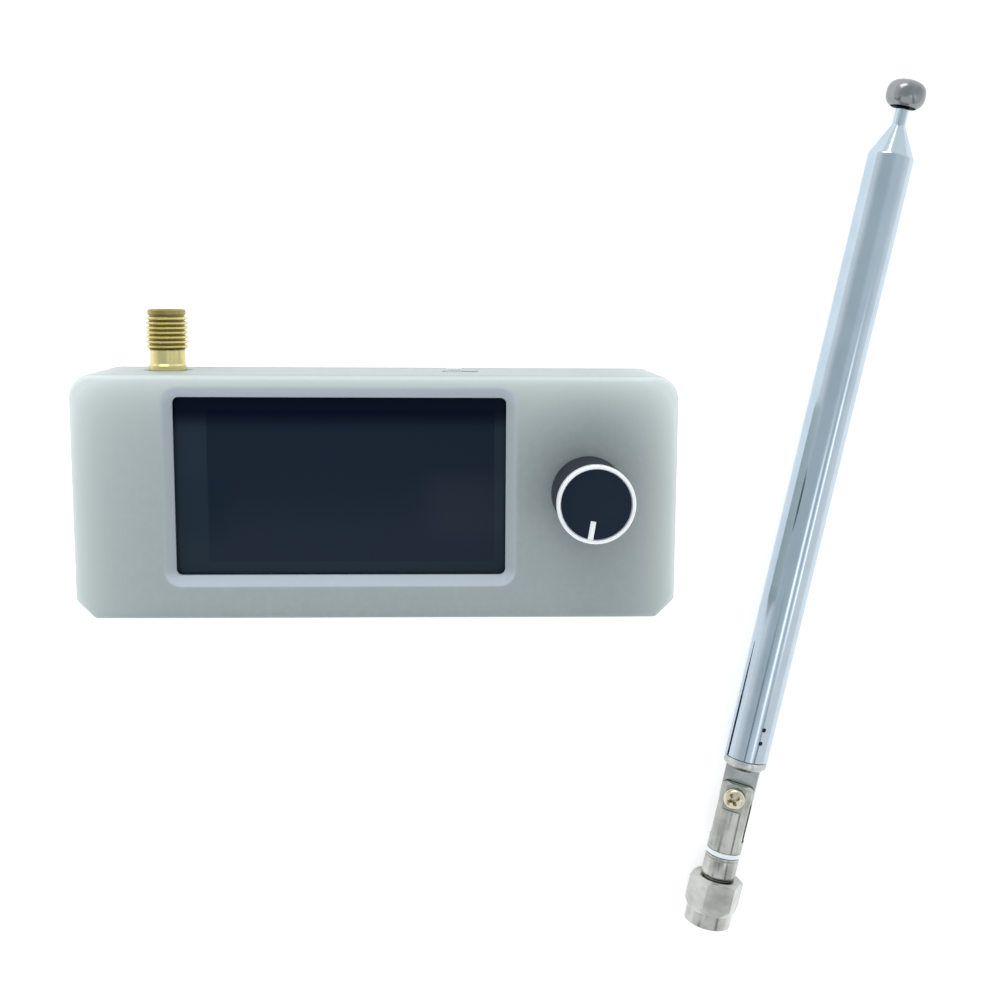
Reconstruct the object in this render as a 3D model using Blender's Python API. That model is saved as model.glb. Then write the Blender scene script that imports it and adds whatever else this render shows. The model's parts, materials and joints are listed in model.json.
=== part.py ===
"""Handheld spectrum analyser with a colour display, a push-turn encoder knob and a threaded
antenna jack, laid on its back beside its folding telescopic antenna.

Frame: +Z is the way the display faces, +Y points to the jack edge, +X to the knob side.
The origin is the centre of the case's flat back. Lengths are in metres.
"""

import math

import bmesh
import bpy
from mathutils import Matrix, Vector

MM = 0.001
TURN_TO_Y = Matrix.Rotation(-math.pi / 2, 3, "X")  # carries +Z to +Y
GAP = 0.3 * MM  # clearance between pieces that touch

# Case
CASE_W = 89.5 * MM
CASE_H = 36.5 * MM
CASE_T = 20.0 * MM
WALL = 2.0 * MM
COVER_T = 2.4 * MM
TOP_CORNER_R = 3.6 * MM
BOTTOM_CHAMFER = 2.8 * MM
FRONT_EDGE_R = 2.4 * MM
BACK_EDGE_R = 0.8 * MM
SHELL_Z = COVER_T + GAP
INNER_TOP = CASE_H / 2 - WALL
INNER_FRONT = CASE_T - WALL

# Display window and the stack behind it
WINDOW_W = 49.2 * MM
WINDOW_H = 26.7 * MM
WINDOW = Vector((-5.4, 1.5)) * MM
WINDOW_R = 0.9 * MM
WINDOW_BEVEL = 1.5 * MM
GLASS_T = 1.2 * MM
BACKLIGHT_T = 2.0 * MM
BOARD_T = 1.0 * MM
GLASS_TOP = INNER_FRONT - GAP
BACKLIGHT_TOP = GLASS_TOP - GLASS_T - GAP
DISPLAY_BOARD_TOP = BACKLIGHT_TOP - BACKLIGHT_T - GAP
DISPLAY_BOARD_BOTTOM = DISPLAY_BOARD_TOP - BOARD_T
DISPLAY_BOARD_W = 60.5 * MM
DISPLAY_BOARD_H = 24.6 * MM
DISPLAY_BOARD_AT = WINDOW - Vector((4.6, 0.6)) * MM

# Radio board, battery
RF_BOARD_W = 76.0 * MM
RF_BOARD_H = 31.8 * MM
RF_BOARD_T = 1.6 * MM
RF_BOARD_Z = 6.5 * MM
RF_BOARD_TOP = RF_BOARD_Z + RF_BOARD_T
CELL = Vector((44.0, 23.6, 3.0)) * MM
CELL_AT = Vector((-6.0, 1.4, 4.6)) * MM

# Encoder and knob
KNOB_AT = Vector((31.3, 1.0)) * MM
KNOB_R = 5.48 * MM
KNOB_RIM_R = 5.6 * MM
KNOB_BOTTOM = CASE_T + 0.9 * MM
KNOB_TOP = CASE_T + 13.0 * MM
CAP_T = 1.6 * MM
POINTER_AT = 3.65 * MM
POINTER_TURN = math.radians(-9.0)
BUSH_R = 3.5 * MM
SHAFT_R = 3.0 * MM
ENCODER_W = 11.7 * MM
ENCODER_H = 12.0 * MM
PRESS_TRAVEL = 0.5 * MM

# Antenna jack on the +Y edge
JACK_AT = Vector((-32.15, 0.0, 9.1)) * MM
JACK_THREAD_R = 3.175 * MM
JACK_RELIEF_R = 2.65 * MM
JACK_REACH = 9.2 * MM  # beyond the case edge
JACK_THREAD_PITCH = 0.7055 * MM

# Power switch on the +Y edge
SWITCH_SIZE = Vector((8.6, 3.4, 3.8)) * MM
SWITCH_AT = Vector((12.5 * MM, 0.0, RF_BOARD_TOP + GAP + SWITCH_SIZE.z / 2))
SWITCH_TRAVEL = 2.0 * MM

# USB-C receptacle on the -X edge, under the display board
USB_SIZE = Vector((7.6, 8.9, 3.2)) * MM
USB_INSET = 0.6 * MM
USB_MOUTH = 6.2 * MM
USB_Z = DISPLAY_BOARD_BOTTOM - GAP - USB_SIZE.z / 2
USB_OPENING = Vector((9.8, 4.0)) * MM

# Screws
COVER_SCREW_AT = Vector((CASE_W / 2 - 3.7 * MM, CASE_H / 2 - 4.1 * MM))
COVER_SCREWS = [
    Vector((sx * COVER_SCREW_AT.x, sy * COVER_SCREW_AT.y)) for sy in (-1, 1) for sx in (-1, 1)
]
BOARD_SCREWS = [
    Vector(p) * MM for p in ((-33.6, -13.9), (23.2, -13.9), (35.7, -13.7), (24.4, 13.2))
]
BOSS_R = 2.6 * MM
POST_R = 2.1 * MM
PILOT_R = 0.95 * MM
COVER_SCREW_L = 9.0 * MM
BOARD_SCREW_L = 7.0 * MM

# Telescopic antenna: its own axis is local +Z from the plug's rim to the tip, local +Y is up
ANTENNA_LEAN = math.radians(11.5)  # from +Y towards +X
KNUCKLE_ROLL = math.radians(-22.0)  # the swivel is parked with its screw leaning to the case
NUT_FLATS = 8.0 * MM
NUT_RIM_R = 3.9 * MM
NUT_RIM_LENGTH = 2.8 * MM
NUT_LENGTH = 8.3 * MM
NUT_BORE_R = 3.3 * MM
COLLAR_R = 2.75 * MM
COLLAR_END = 12.2 * MM
WASHER_END = 13.2 * MM
FORK_R = 2.9 * MM
FORK_END = 24.9 * MM
HINGE_AT = 22.6 * MM
SCREW_HEAD_R = 1.75 * MM
TONGUE_T = 1.7 * MM
TONGUE_R = 2.8 * MM
TUBE_START = 29.4 * MM
TUBE_END = 128.6 * MM
CONE_LENGTH = 4.2 * MM
TUBE_R = [3.6 * MM, 3.1 * MM, 2.6 * MM, 2.1 * MM, 1.62 * MM]
TUBE_WALL = 0.25 * MM
STUB_LENGTH = 9.0 * MM
ROD_R = 1.02 * MM
BUTTON_R = 3.05 * MM
BUTTON_T = 4.6 * MM
BUTTON_BORE_R = 1.9 * MM
ANTENNA_LENGTH = 140.5 * MM
# It rests on the coupling nut's rear edge and the outer tube's upper end.
ANTENNA_DIP = math.asin((NUT_FLATS / 2 - TUBE_R[0]) / (TUBE_END - NUT_LENGTH))
ANTENNA_AT = Vector((54.2 * MM, -74.4 * MM, NUT_FLATS / 2 + NUT_LENGTH * math.sin(ANTENNA_DIP)))

ROUND = 32  # sides of a large round piece
SMALL_ROUND = 20


# ---------------------------------------------------------------- helpers


def clear_scene():
    for obj in list(bpy.data.objects):
        bpy.data.objects.remove(obj)


def material(name, colour, roughness, metallic=0.0):
    made = bpy.data.materials.new(name)
    made.use_nodes = True
    shader = made.node_tree.nodes["Principled BSDF"]
    shader.inputs["Base Color"].default_value = (*colour, 1.0)
    shader.inputs["Roughness"].default_value = roughness
    shader.inputs["Metallic"].default_value = metallic
    return made


def face_out(bm):
    bmesh.ops.recalc_face_normals(bm, faces=bm.faces[:])
    if bm.calc_volume(signed=True) < 0:
        bmesh.ops.reverse_faces(bm, faces=bm.faces[:])


def add_object(name, bm, finish, at=(0, 0, 0), turn=(0, 0, 0), parent=None):
    """Makes bm the mesh of a new object, with its faces pointing out."""
    face_out(bm)
    mesh = bpy.data.meshes.new(name)
    bm.to_mesh(mesh)
    bm.free()
    obj = bpy.data.objects.new(name, mesh)
    bpy.context.scene.collection.objects.link(obj)
    if finish is not None:
        mesh.materials.append(finish)
    obj.location = at
    obj.rotation_euler = turn
    obj.parent = parent
    return obj


def empty(name, at, turn=(0, 0, 0), parent=None):
    obj = bpy.data.objects.new(name, None)
    bpy.context.scene.collection.objects.link(obj)
    obj.location = at
    obj.rotation_euler = turn
    obj.parent = parent
    return obj


def smooth(obj, degrees=35.0):
    obj.data.shade_smooth()
    obj.data.set_sharp_from_angle(angle=math.radians(degrees))
    return obj


def prism_bm(outline, low, high):
    """A straight prism over a flat outline, from height low to high."""
    bm = bmesh.new()
    base = bm.faces.new([bm.verts.new((x, y, low)) for x, y in outline])
    top = bmesh.ops.extrude_face_region(bm, geom=[base])
    raised = [v for v in top["geom"] if isinstance(v, bmesh.types.BMVert)]
    bmesh.ops.translate(bm, verts=raised, vec=(0, 0, high - low))
    return bm


def box_bm(size, centre=(0, 0, 0), bevel=0.0):
    bm = bmesh.new()
    bmesh.ops.create_cube(bm, size=1.0)
    bmesh.ops.scale(bm, verts=bm.verts[:], vec=size)
    if bevel:
        bmesh.ops.bevel(
            bm, geom=bm.edges[:], offset=bevel, segments=1, profile=0.5, affect="EDGES"
        )
    bmesh.ops.translate(bm, verts=bm.verts[:], vec=centre)
    return bm


def turned_bm(profile, sides=ROUND, ring=False):
    """A profile of (radius, height) points spun about Z. A ring's profile is closed;
    any other runs from the axis to the axis."""
    bm = bmesh.new()
    points = [bm.verts.new((r, 0, z)) for r, z in profile]
    edges = [bm.edges.new(pair) for pair in zip(points, points[1:])]
    if ring:
        edges.append(bm.edges.new((points[-1], points[0])))
    bmesh.ops.spin(
        bm,
        geom=points + edges,
        axis=(0, 0, 1),
        cent=(0, 0, 0),
        angle=math.tau,
        steps=sides,
        use_merge=True,
    )
    bmesh.ops.remove_doubles(bm, verts=bm.verts[:], dist=1e-6)
    return bm


def cylinder_bm(radius, low, high, sides=SMALL_ROUND, at=(0, 0)):
    bm = turned_bm([(0, low), (radius, low), (radius, high), (0, high)], sides)
    bmesh.ops.translate(bm, verts=bm.verts[:], vec=(at[0], at[1], 0))
    return bm


def joined_bm(parts):
    """Several closed bodies in one bmesh, for a cutter or a union."""
    joined = bmesh.new()
    for part in parts:
        face_out(part)
        scrap = bpy.data.meshes.new("scrap")
        part.to_mesh(scrap)
        part.free()
        joined.from_mesh(scrap)
        bpy.data.meshes.remove(scrap)
    return joined


def boolean(obj, bm, operation="DIFFERENCE", parent=None):
    """Cuts, or joins, a helper body with obj."""
    helper = add_object(f"{obj.name}_{operation.lower()}_{len(obj.modifiers)}", bm, None)
    helper.hide_render = True
    helper.display_type = "WIRE"
    helper.parent = parent
    modifier = obj.modifiers.new(operation.title(), "BOOLEAN")
    modifier.operation = operation
    modifier.object = helper
    return obj


def rounded_outline(width, height, radius, centre=(0, 0), steps=4):
    """A rectangle with four round corners, anticlockwise."""
    points = []
    for quarter, (sx, sy) in enumerate(((1, 1), (-1, 1), (-1, -1), (1, -1))):
        cx = centre[0] + sx * (width / 2 - radius)
        cy = centre[1] + sy * (height / 2 - radius)
        for i in range(steps + 1):
            angle = math.pi / 2 * (quarter + i / steps)
            points.append((cx + radius * math.cos(angle), cy + radius * math.sin(angle)))
    return points


def case_outline(inset=0.0, steps=6):
    """The case seen from the front: round upper corners and chamfered lower ones."""
    right, top = CASE_W / 2 - inset, CASE_H / 2 - inset
    radius = TOP_CORNER_R - inset
    chamfer = BOTTOM_CHAMFER - inset * (2 - math.sqrt(2))
    points = []
    for quarter, side in enumerate((1, -1)):
        for i in range(steps + 1):
            angle = math.pi / 2 * (quarter + i / steps)
            points.append(
                (
                    side * (right - radius) + radius * math.cos(angle),
                    top - radius + radius * math.sin(angle),
                )
            )
    points += [(-right, chamfer - top), (chamfer - right, -top)]
    points += [(right - chamfer, -top), (right, chamfer - top)]
    return points


def bevelled_rim(bm, height, offset, segments):
    """Rounds the edges of the rim at one height."""
    rim = [e for e in bm.edges if all(abs(v.co.z - height) < 1e-6 for v in e.verts)]
    bmesh.ops.bevel(
        bm, geom=rim, offset=offset, segments=segments, profile=0.5, affect="EDGES"
    )
    return bm


# ---------------------------------------------------------------- case


def make_front_shell(finish):
    body = bevelled_rim(prism_bm(case_outline(), SHELL_Z, CASE_T), CASE_T, FRONT_EDGE_R, 4)
    shell = add_object("front_shell", body, finish)
    boolean(shell, prism_bm(case_outline(WALL), 0, INNER_FRONT))
    sunk = 0.5 * MM
    columns = [
        cylinder_bm(BOSS_R, SHELL_Z, INNER_FRONT + sunk, 16, p) for p in COVER_SCREWS
    ]
    columns += [
        cylinder_bm(POST_R, RF_BOARD_TOP + GAP, INNER_FRONT + sunk, 16, p)
        for p in BOARD_SCREWS
    ]
    boolean(shell, joined_bm(columns), "UNION")
    pilots = [cylinder_bm(PILOT_R, 0, 13 * MM, 12, p) for p in COVER_SCREWS]
    pilots += [cylinder_bm(PILOT_R, 0, 14 * MM, 12, p) for p in BOARD_SCREWS]
    boolean(shell, joined_bm(pilots))
    boolean(shell, window_cutter())
    openings = [
        cylinder_bm(BUSH_R + GAP, INNER_FRONT - MM, CASE_T + MM, 24, KNOB_AT),
        jack_hole(),
        box_bm(
            (SWITCH_TRAVEL + 3.6 * MM, 4 * MM, 2.6 * MM),
            (SWITCH_AT.x, CASE_H / 2 - WALL / 2, SWITCH_AT.z),
        ),
        box_bm(
            (4 * MM, *USB_OPENING),
            (-CASE_W / 2 + WALL / 2, WINDOW.y, USB_Z),
        ),
    ]
    boolean(shell, joined_bm(openings))
    return smooth(shell)


def window_cutter():
    """The display opening, with its slope to the front face."""
    depth = WINDOW_BEVEL
    outer = rounded_outline(
        WINDOW_W + 2 * depth, WINDOW_H + 2 * depth, WINDOW_R + depth, WINDOW
    )
    inner = rounded_outline(WINDOW_W, WINDOW_H, WINDOW_R, WINDOW)
    bm = bmesh.new()
    rise = 1 * MM
    loops = []
    for outline, z in (
        (inner, INNER_FRONT - MM),
        (inner, CASE_T - depth),
        (outer, CASE_T),
        (outer, CASE_T + rise),
    ):
        verts = [bm.verts.new((x, y, z)) for x, y in outline]
        count = len(verts)
        loops.append([bm.edges.new((verts[i], verts[(i + 1) % count])) for i in range(count)])
    for lower, upper in zip(loops, loops[1:]):
        bmesh.ops.bridge_loops(bm, edges=lower + upper)
    bmesh.ops.holes_fill(bm, edges=loops[0] + loops[-1], sides=0)
    return bm


def jack_hole():
    bm = cylinder_bm(JACK_THREAD_R + GAP, -2 * WALL, 2 * WALL, 24)
    bmesh.ops.rotate(bm, verts=bm.verts[:], matrix=TURN_TO_Y)
    bmesh.ops.translate(bm, verts=bm.verts[:], vec=(JACK_AT.x, CASE_H / 2, JACK_AT.z))
    return bm


def make_rear_cover(finish):
    body = bevelled_rim(prism_bm(case_outline(), 0, COVER_T), 0, BACK_EDGE_R, 2)
    cover = add_object("rear_cover", body, finish)
    rib = Vector((66 * MM, 1.2 * MM, 2.0 * MM))
    reach = INNER_TOP - GAP - rib.y / 2
    ribs = [box_bm(rib, (0, side * reach, COVER_T + 0.5 * MM)) for side in (-1, 1)]
    boolean(cover, joined_bm(ribs), "UNION")
    shank_r = 1.3 * MM
    sink = [(0, -MM), (3.3 * MM, -MM), (shank_r, shank_r), (shank_r, 5 * MM), (0, 5 * MM)]
    holes = []
    for p in COVER_SCREWS:
        hole = turned_bm(sink, 16)
        bmesh.ops.translate(hole, verts=hole.verts[:], vec=(p.x, p.y, 0))
        holes.append(hole)
    boolean(cover, joined_bm(holes))
    return smooth(cover)


def screw_bm(head, shank_r, length):
    """A screw from its head's (radius, height) profile at the origin, its shank along +Z."""
    tip = 0.5 * MM
    shank = [(shank_r, length - tip), (shank_r * 0.5, length), (0, length)]
    return turned_bm(head + shank, 16)


def cut_cross(screw, width, slot, depth, at=0.0, turn=0.0):
    """Cuts a cross recess of this width from a screw's head, at a height along its axis."""
    for size in ((width, slot), (slot, width)):
        arm = box_bm((*size, 2 * depth), (0, 0, at))
        bmesh.ops.rotate(arm, verts=arm.verts[:], matrix=rotation_z(turn))
        boolean(screw, arm, parent=screw)


def make_screws(finish):
    head_r, shank_r = 1.75 * MM, 0.8 * MM
    countersunk = [(0, 0), (head_r, 0), (shank_r, MM)]
    for i, p in enumerate(COVER_SCREWS):
        screw = add_object(
            f"cover_screw_{i + 1}",
            screw_bm(countersunk, shank_r, COVER_SCREW_L),
            finish,
            (p.x, p.y, 0.2 * MM),
        )
        cut_cross(screw, 1.8 * MM, 0.43 * MM, 0.7 * MM)
        smooth(screw)
    head_r, head_t, shank_r = 1.7 * MM, 1.2 * MM, 0.65 * MM
    pan = [(0, 0), (head_r * 0.8, 0), (head_r, head_t * 0.4), (head_r, head_t), (shank_r, head_t)]
    for i, p in enumerate(BOARD_SCREWS):
        screw = add_object(
            f"board_screw_{i + 1}",
            screw_bm(pan, shank_r, BOARD_SCREW_L),
            finish,
            (p.x, p.y, RF_BOARD_Z - GAP - head_t),
        )
        smooth(screw)


# ---------------------------------------------------------------- display stack


def make_display(glass, dark, board, metal):
    add_object(
        "display_glass",
        box_bm((WINDOW_W + 1.8 * MM, WINDOW_H + 1.4 * MM, GLASS_T)),
        glass,
        (WINDOW.x, WINDOW.y, GLASS_TOP - GLASS_T / 2),
    )
    add_object(
        "display_backlight",
        box_bm((WINDOW_W + 0.6 * MM, WINDOW_H - 0.6 * MM, BACKLIGHT_T)),
        dark,
        (WINDOW.x, WINDOW.y, BACKLIGHT_TOP - BACKLIGHT_T / 2),
    )
    panel = add_object(
        "display_board",
        box_bm((DISPLAY_BOARD_W, DISPLAY_BOARD_H, BOARD_T)),
        board,
        (*DISPLAY_BOARD_AT, DISPLAY_BOARD_TOP - BOARD_T / 2),
    )
    notch = Vector((7, 7, 4)) * MM
    left_bosses = [p for p in COVER_SCREWS if p.x < 0]
    boolean(panel, joined_bm([box_bm(notch, (*p, DISPLAY_BOARD_TOP)) for p in left_bosses]))
    make_flex(dark)
    under = DISPLAY_BOARD_BOTTOM - GAP
    add_object(
        "processor_can",
        box_bm((14 * MM, 17 * MM, 2.2 * MM), bevel=0.3 * MM),
        metal,
        (-26 * MM, WINDOW.y, under - 1.1 * MM),
    )


def make_flex(finish):
    """The display's flat cable, which leaves the glass and folds back under the board."""
    half, thick, out = 6 * MM, 0.25 * MM, 2.2 * MM
    edge = WINDOW.x + WINDOW_W / 2 + 0.9 * MM + GAP
    high = GLASS_TOP - GLASS_T / 2
    low = DISPLAY_BOARD_BOTTOM - GAP - thick
    radius = (high - low) / 2
    outer = [(edge, high + thick), (edge + out, high + thick)]
    inner = [(edge, high), (edge + out, high)]
    steps = 8
    for i in range(1, steps):
        a = math.pi / 2 - math.pi * i / steps
        for line, r in ((outer, radius + thick / 2), (inner, radius - thick / 2)):
            line.append(
                (edge + out + r * math.cos(a) * 0.8, (high + low + thick) / 2 + r * math.sin(a))
            )
    outer += [(edge + out, low), (edge - 3 * MM, low)]
    inner += [(edge + out, low + thick), (edge - 3 * MM, low + thick)]
    bm = prism_bm(outer + inner[::-1], -half, half)
    # The outline was drawn in X and Z, so its thickness is turned into Y.
    for v in bm.verts:
        v.co = Vector((v.co.x, v.co.z + WINDOW.y, v.co.y))
    add_object("display_flex", bm, finish)


# ---------------------------------------------------------------- boards and battery


def make_usb(metal):
    at = (-CASE_W / 2 + USB_INSET + USB_SIZE.x / 2, WINDOW.y, USB_Z)
    outline = rounded_outline(USB_SIZE.y, USB_SIZE.z, 1.5 * MM)
    hollow = rounded_outline(USB_SIZE.y - 0.6 * MM, USB_SIZE.z - 0.6 * MM, 1.2 * MM)
    turn = (math.pi / 2, 0, math.pi / 2)
    shell = add_object(
        "usb_receptacle", prism_bm(outline, -USB_SIZE.x / 2, USB_SIZE.x / 2), metal, at, turn
    )
    cavity = prism_bm(hollow, -USB_SIZE.x / 2 - MM, -USB_SIZE.x / 2 + USB_MOUTH)
    boolean(shell, cavity, parent=shell)
    return smooth(shell)


def make_usb_tongue(plastic):
    length = 5.2 * MM
    x = -CASE_W / 2 + USB_INSET + USB_MOUTH - GAP - length / 2
    add_object(
        "usb_tongue",
        box_bm((length, 6.6 * MM, 0.7 * MM)),
        plastic,
        (x, WINDOW.y, USB_Z),
    )


def make_boards(board, plastic, tin):
    rf = add_object(
        "radio_board",
        box_bm((RF_BOARD_W, RF_BOARD_H, RF_BOARD_T)),
        board,
        (0, 0, RF_BOARD_Z + RF_BOARD_T / 2),
    )
    holes = [cylinder_bm(1.1 * MM, 0, 12 * MM, 16, p) for p in BOARD_SCREWS]
    jack_block = box_bm(
        (7.2 * MM, 6 * MM, 6 * MM), (JACK_AT.x, INNER_TOP + 0.2 * MM, RF_BOARD_Z)
    )
    holes.append(jack_block)
    boolean(rf, joined_bm(holes))
    top = RF_BOARD_TOP + GAP
    rise = DISPLAY_BOARD_BOTTOM - GAP - top
    for name, y in (("pin_header_upper", 11.6 * MM), ("pin_header_lower", -8.6 * MM)):
        add_object(
            name,
            box_bm((20.3 * MM, 2.5 * MM, rise), bevel=0.2 * MM),
            plastic,
            (-4 * MM, y, top + rise / 2),
        )
    add_object(
        "radio_can",
        box_bm((24 * MM, 14 * MM, 3.2 * MM), bevel=0.3 * MM),
        tin,
        (0, 1.4 * MM, top + 1.6 * MM),
    )
    add_object(
        "reference_crystal",
        box_bm((5.0 * MM, 3.2 * MM, 1.3 * MM), bevel=0.2 * MM),
        tin,
        (-17.5 * MM, -2 * MM, top + 0.65 * MM),
    )


def make_battery(foil, plastic, tape, red, black):
    add_object("battery_cell", box_bm(CELL, bevel=0.6 * MM), foil, CELL_AT)
    pad_t = 0.3 * MM
    add_object(
        "battery_pad",
        box_bm((36 * MM, 16 * MM, pad_t)),
        tape,
        (CELL_AT.x, CELL_AT.y, CELL_AT.z - CELL.z / 2 - pad_t / 2 - 0.1 * MM),
    )
    socket_top = RF_BOARD_Z - GAP
    socket = Vector((5.0, 6.0, 3.2)) * MM
    socket_x = 29.0 * MM
    plug = Vector((3.0, 4.6, 2.4)) * MM
    z = socket_top - socket.z / 2
    add_object("battery_socket", box_bm(socket, bevel=0.2 * MM), plastic, (socket_x, 4 * MM, z))
    plug_x = socket_x - socket.x / 2 - GAP - plug.x / 2
    add_object("battery_plug", box_bm(plug, bevel=0.2 * MM), plastic, (plug_x, 4 * MM, z))
    start_x = CELL_AT.x + CELL.x / 2 + GAP
    end_x = plug_x - plug.x / 2 - GAP
    for name, finish, shift in (
        ("battery_lead_red", red, 0.75 * MM),
        ("battery_lead_black", black, -0.75 * MM),
    ):
        start = Vector((start_x, -6 * MM, CELL_AT.z + shift))
        end = Vector((end_x, 4 * MM, z + shift))
        make_lead(name, start, end, finish)


def make_lead(name, start, end, finish):
    """A lead on a smooth S curve between two facing ends."""
    curve = bpy.data.curves.new(name, "CURVE")
    curve.dimensions = "3D"
    curve.bevel_depth = 0.55 * MM
    curve.bevel_resolution = 2
    curve.use_fill_caps = True
    spline = curve.splines.new("POLY")
    steps = 14
    spline.points.add(steps)
    slack = 5 * MM
    handles = (start, start + Vector((slack, 0, 0)), end - Vector((slack, 0, 0)), end)
    for i in range(steps + 1):
        t = i / steps
        weights = ((1 - t) ** 3, 3 * t * (1 - t) ** 2, 3 * t * t * (1 - t), t**3)
        point = sum((h * w for h, w in zip(handles, weights)), Vector())
        spline.points[i].co = (*point, 1)
    curve.materials.append(finish)
    obj = bpy.data.objects.new(name, curve)
    bpy.context.scene.collection.objects.link(obj)
    return obj


# ---------------------------------------------------------------- encoder and knob


def make_encoder(plastic, metal):
    base_t = 3.2 * MM
    low = RF_BOARD_TOP + GAP
    add_object(
        "encoder_base",
        box_bm((ENCODER_W, ENCODER_H, base_t), bevel=0.3 * MM),
        plastic,
        (KNOB_AT.x, KNOB_AT.y, low + base_t / 2),
    )
    plate_low = low + base_t + GAP
    plate_t = 3.0 * MM
    bush_top = CASE_T + 0.4 * MM
    frame = add_object(
        "encoder_frame",
        box_bm((ENCODER_W, ENCODER_H, plate_t), (0, 0, plate_t / 2)),
        metal,
        (KNOB_AT.x, KNOB_AT.y, plate_low),
    )
    bush = cylinder_bm(BUSH_R, plate_t / 2, bush_top - plate_low, 24)
    boolean(frame, bush, "UNION", frame)
    pocket = cylinder_bm(4.3 * MM, -MM, 1.6 * MM, 24)
    boolean(frame, pocket, parent=frame)
    boolean(frame, cylinder_bm(SHAFT_R + 0.1 * MM, -MM, 20 * MM, 24), parent=frame)
    smooth(frame)
    plunger_t = 0.6 * MM
    smooth(
        add_object(
            "encoder_plunger",
            cylinder_bm(3.8 * MM, 0, plunger_t, 24),
            plastic,
            (KNOB_AT.x, KNOB_AT.y, plate_low + PRESS_TRAVEL + 0.05 * MM),
        )
    )
    return plate_low + PRESS_TRAVEL + 0.05 * MM + plunger_t + 0.05 * MM


def make_knob(shaft_low, metal, black, aluminium, pointer):
    axis = empty("knob_axis", (KNOB_AT.x, KNOB_AT.y, 0))
    shaft_high = KNOB_TOP - CAP_T - 2.0 * MM
    shaft = cylinder_bm(SHAFT_R, shaft_low, shaft_high, 24)
    smooth(add_object("encoder_shaft", shaft, metal, parent=axis))
    cap_low = KNOB_TOP - CAP_T
    skirt_r = KNOB_R - 0.8 * MM
    knob = add_object(
        "knob_body",
        turned_bm(
            [
                (SHAFT_R + GAP, KNOB_BOTTOM + 1.6 * MM),
                (skirt_r, KNOB_BOTTOM + 1.6 * MM),
                (skirt_r, KNOB_BOTTOM),
                (KNOB_R, KNOB_BOTTOM),
                (KNOB_R, cap_low - GAP),
                (0, cap_low - GAP),
                (0, shaft_high + GAP),
                (SHAFT_R + GAP, shaft_high + GAP),
            ],
            ROUND,
            ring=True,
        ),
        black,
        parent=axis,
    )
    smooth(knob)
    rim = 0.45 * MM
    groove = 0.35 * MM
    cap = add_object(
        "knob_cap",
        turned_bm(
            [
                (0, cap_low),
                (KNOB_RIM_R, cap_low),
                (KNOB_RIM_R, KNOB_TOP - rim * 0.6),
                (KNOB_RIM_R - rim * 0.6, KNOB_TOP),
                (KNOB_RIM_R - rim - 0.15 * MM, KNOB_TOP - groove),
                (0, KNOB_TOP - groove),
            ],
            ROUND,
        ),
        aluminium,
        parent=axis,
    )
    slot_low = KNOB_TOP - groove - 0.5 * MM
    slot = box_bm((1.0 * MM, 3.0 * MM, 2 * MM), (0, -POINTER_AT, slot_low + MM))
    bmesh.ops.rotate(slot, verts=slot.verts[:], matrix=rotation_z(POINTER_TURN))
    boolean(cap, slot, parent=cap)
    smooth(cap)
    line = box_bm((0.6 * MM, 2.6 * MM, 0.6 * MM), (0, -POINTER_AT, slot_low + 0.4 * MM))
    bmesh.ops.rotate(line, verts=line.verts[:], matrix=rotation_z(POINTER_TURN))
    add_object("knob_pointer", line, pointer, parent=axis)


def rotation_z(angle):
    return Matrix.Rotation(angle, 3, "Z")


# ---------------------------------------------------------------- antenna jack, power switch


def thread_profile(radius, root, low, high, pitch):
    """The crests and roots of a screw thread as rings, from low to high."""
    turns = int((high - low) / pitch)
    points = []
    for i in range(turns):
        z = low + i * pitch
        points += [(root, z), (radius, z + pitch * 0.5)]
    return points + [(root, low + turns * pitch)]


def make_jack(gold, white):
    axis = empty("jack_axis", (JACK_AT.x, CASE_H / 2, JACK_AT.z), (-math.pi / 2, 0, 0))
    # Local +Z is +Y: heights count from the case's upper edge.
    flange_high = -WALL - GAP
    flange = 6.4 * MM
    collar_r = JACK_RELIEF_R + 0.2 * MM
    root = JACK_THREAD_R - 0.42 * MM
    low, high = JACK_REACH - 5.9 * MM, JACK_REACH - 0.9 * MM
    profile = [(0, flange_high - MM), (collar_r, flange_high - MM), (collar_r, 0.8 * MM)]
    profile += [(JACK_RELIEF_R, 1.2 * MM), (JACK_RELIEF_R, low - 0.2 * MM)]
    profile += thread_profile(JACK_THREAD_R, root, low, high, JACK_THREAD_PITCH)
    profile += [(root, JACK_REACH - 0.1 * MM), (root - 0.1 * MM, JACK_REACH), (0, JACK_REACH)]
    barrel = turned_bm(profile, 24)
    body = add_object("jack_body", barrel, gold, parent=axis)
    block = box_bm((flange, flange, 2.2 * MM), (0, 0, flange_high - 1.1 * MM))
    boolean(body, block, "UNION", body)
    boolean(body, cylinder_bm(2.3 * MM, JACK_REACH - 2.6 * MM, 20 * MM, 24), parent=body)
    boolean(body, cylinder_bm(2.08 * MM, -20 * MM, 20 * MM, 24), parent=body)
    smooth(body)
    smooth(
        add_object(
            "jack_insulator",
            turned_bm(
                [
                    (0.75 * MM, -4 * MM),
                    (1.85 * MM, -4 * MM),
                    (1.85 * MM, JACK_REACH - 2.6 * MM),
                    (0.75 * MM, JACK_REACH - 2.6 * MM),
                ],
                SMALL_ROUND,
                ring=True,
            ),
            white,
            parent=axis,
        )
    )
    contact = turned_bm(
        [
            (0, -6.5 * MM),
            (0.6 * MM, -6.5 * MM),
            (0.6 * MM, JACK_REACH - 2.7 * MM),
            (0.35 * MM, JACK_REACH - 2.7 * MM),
            (0.35 * MM, JACK_REACH - 5.6 * MM),
            (0, JACK_REACH - 5.6 * MM),
        ],
        16,
    )
    smooth(add_object("jack_contact", contact, gold, parent=axis))


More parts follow.
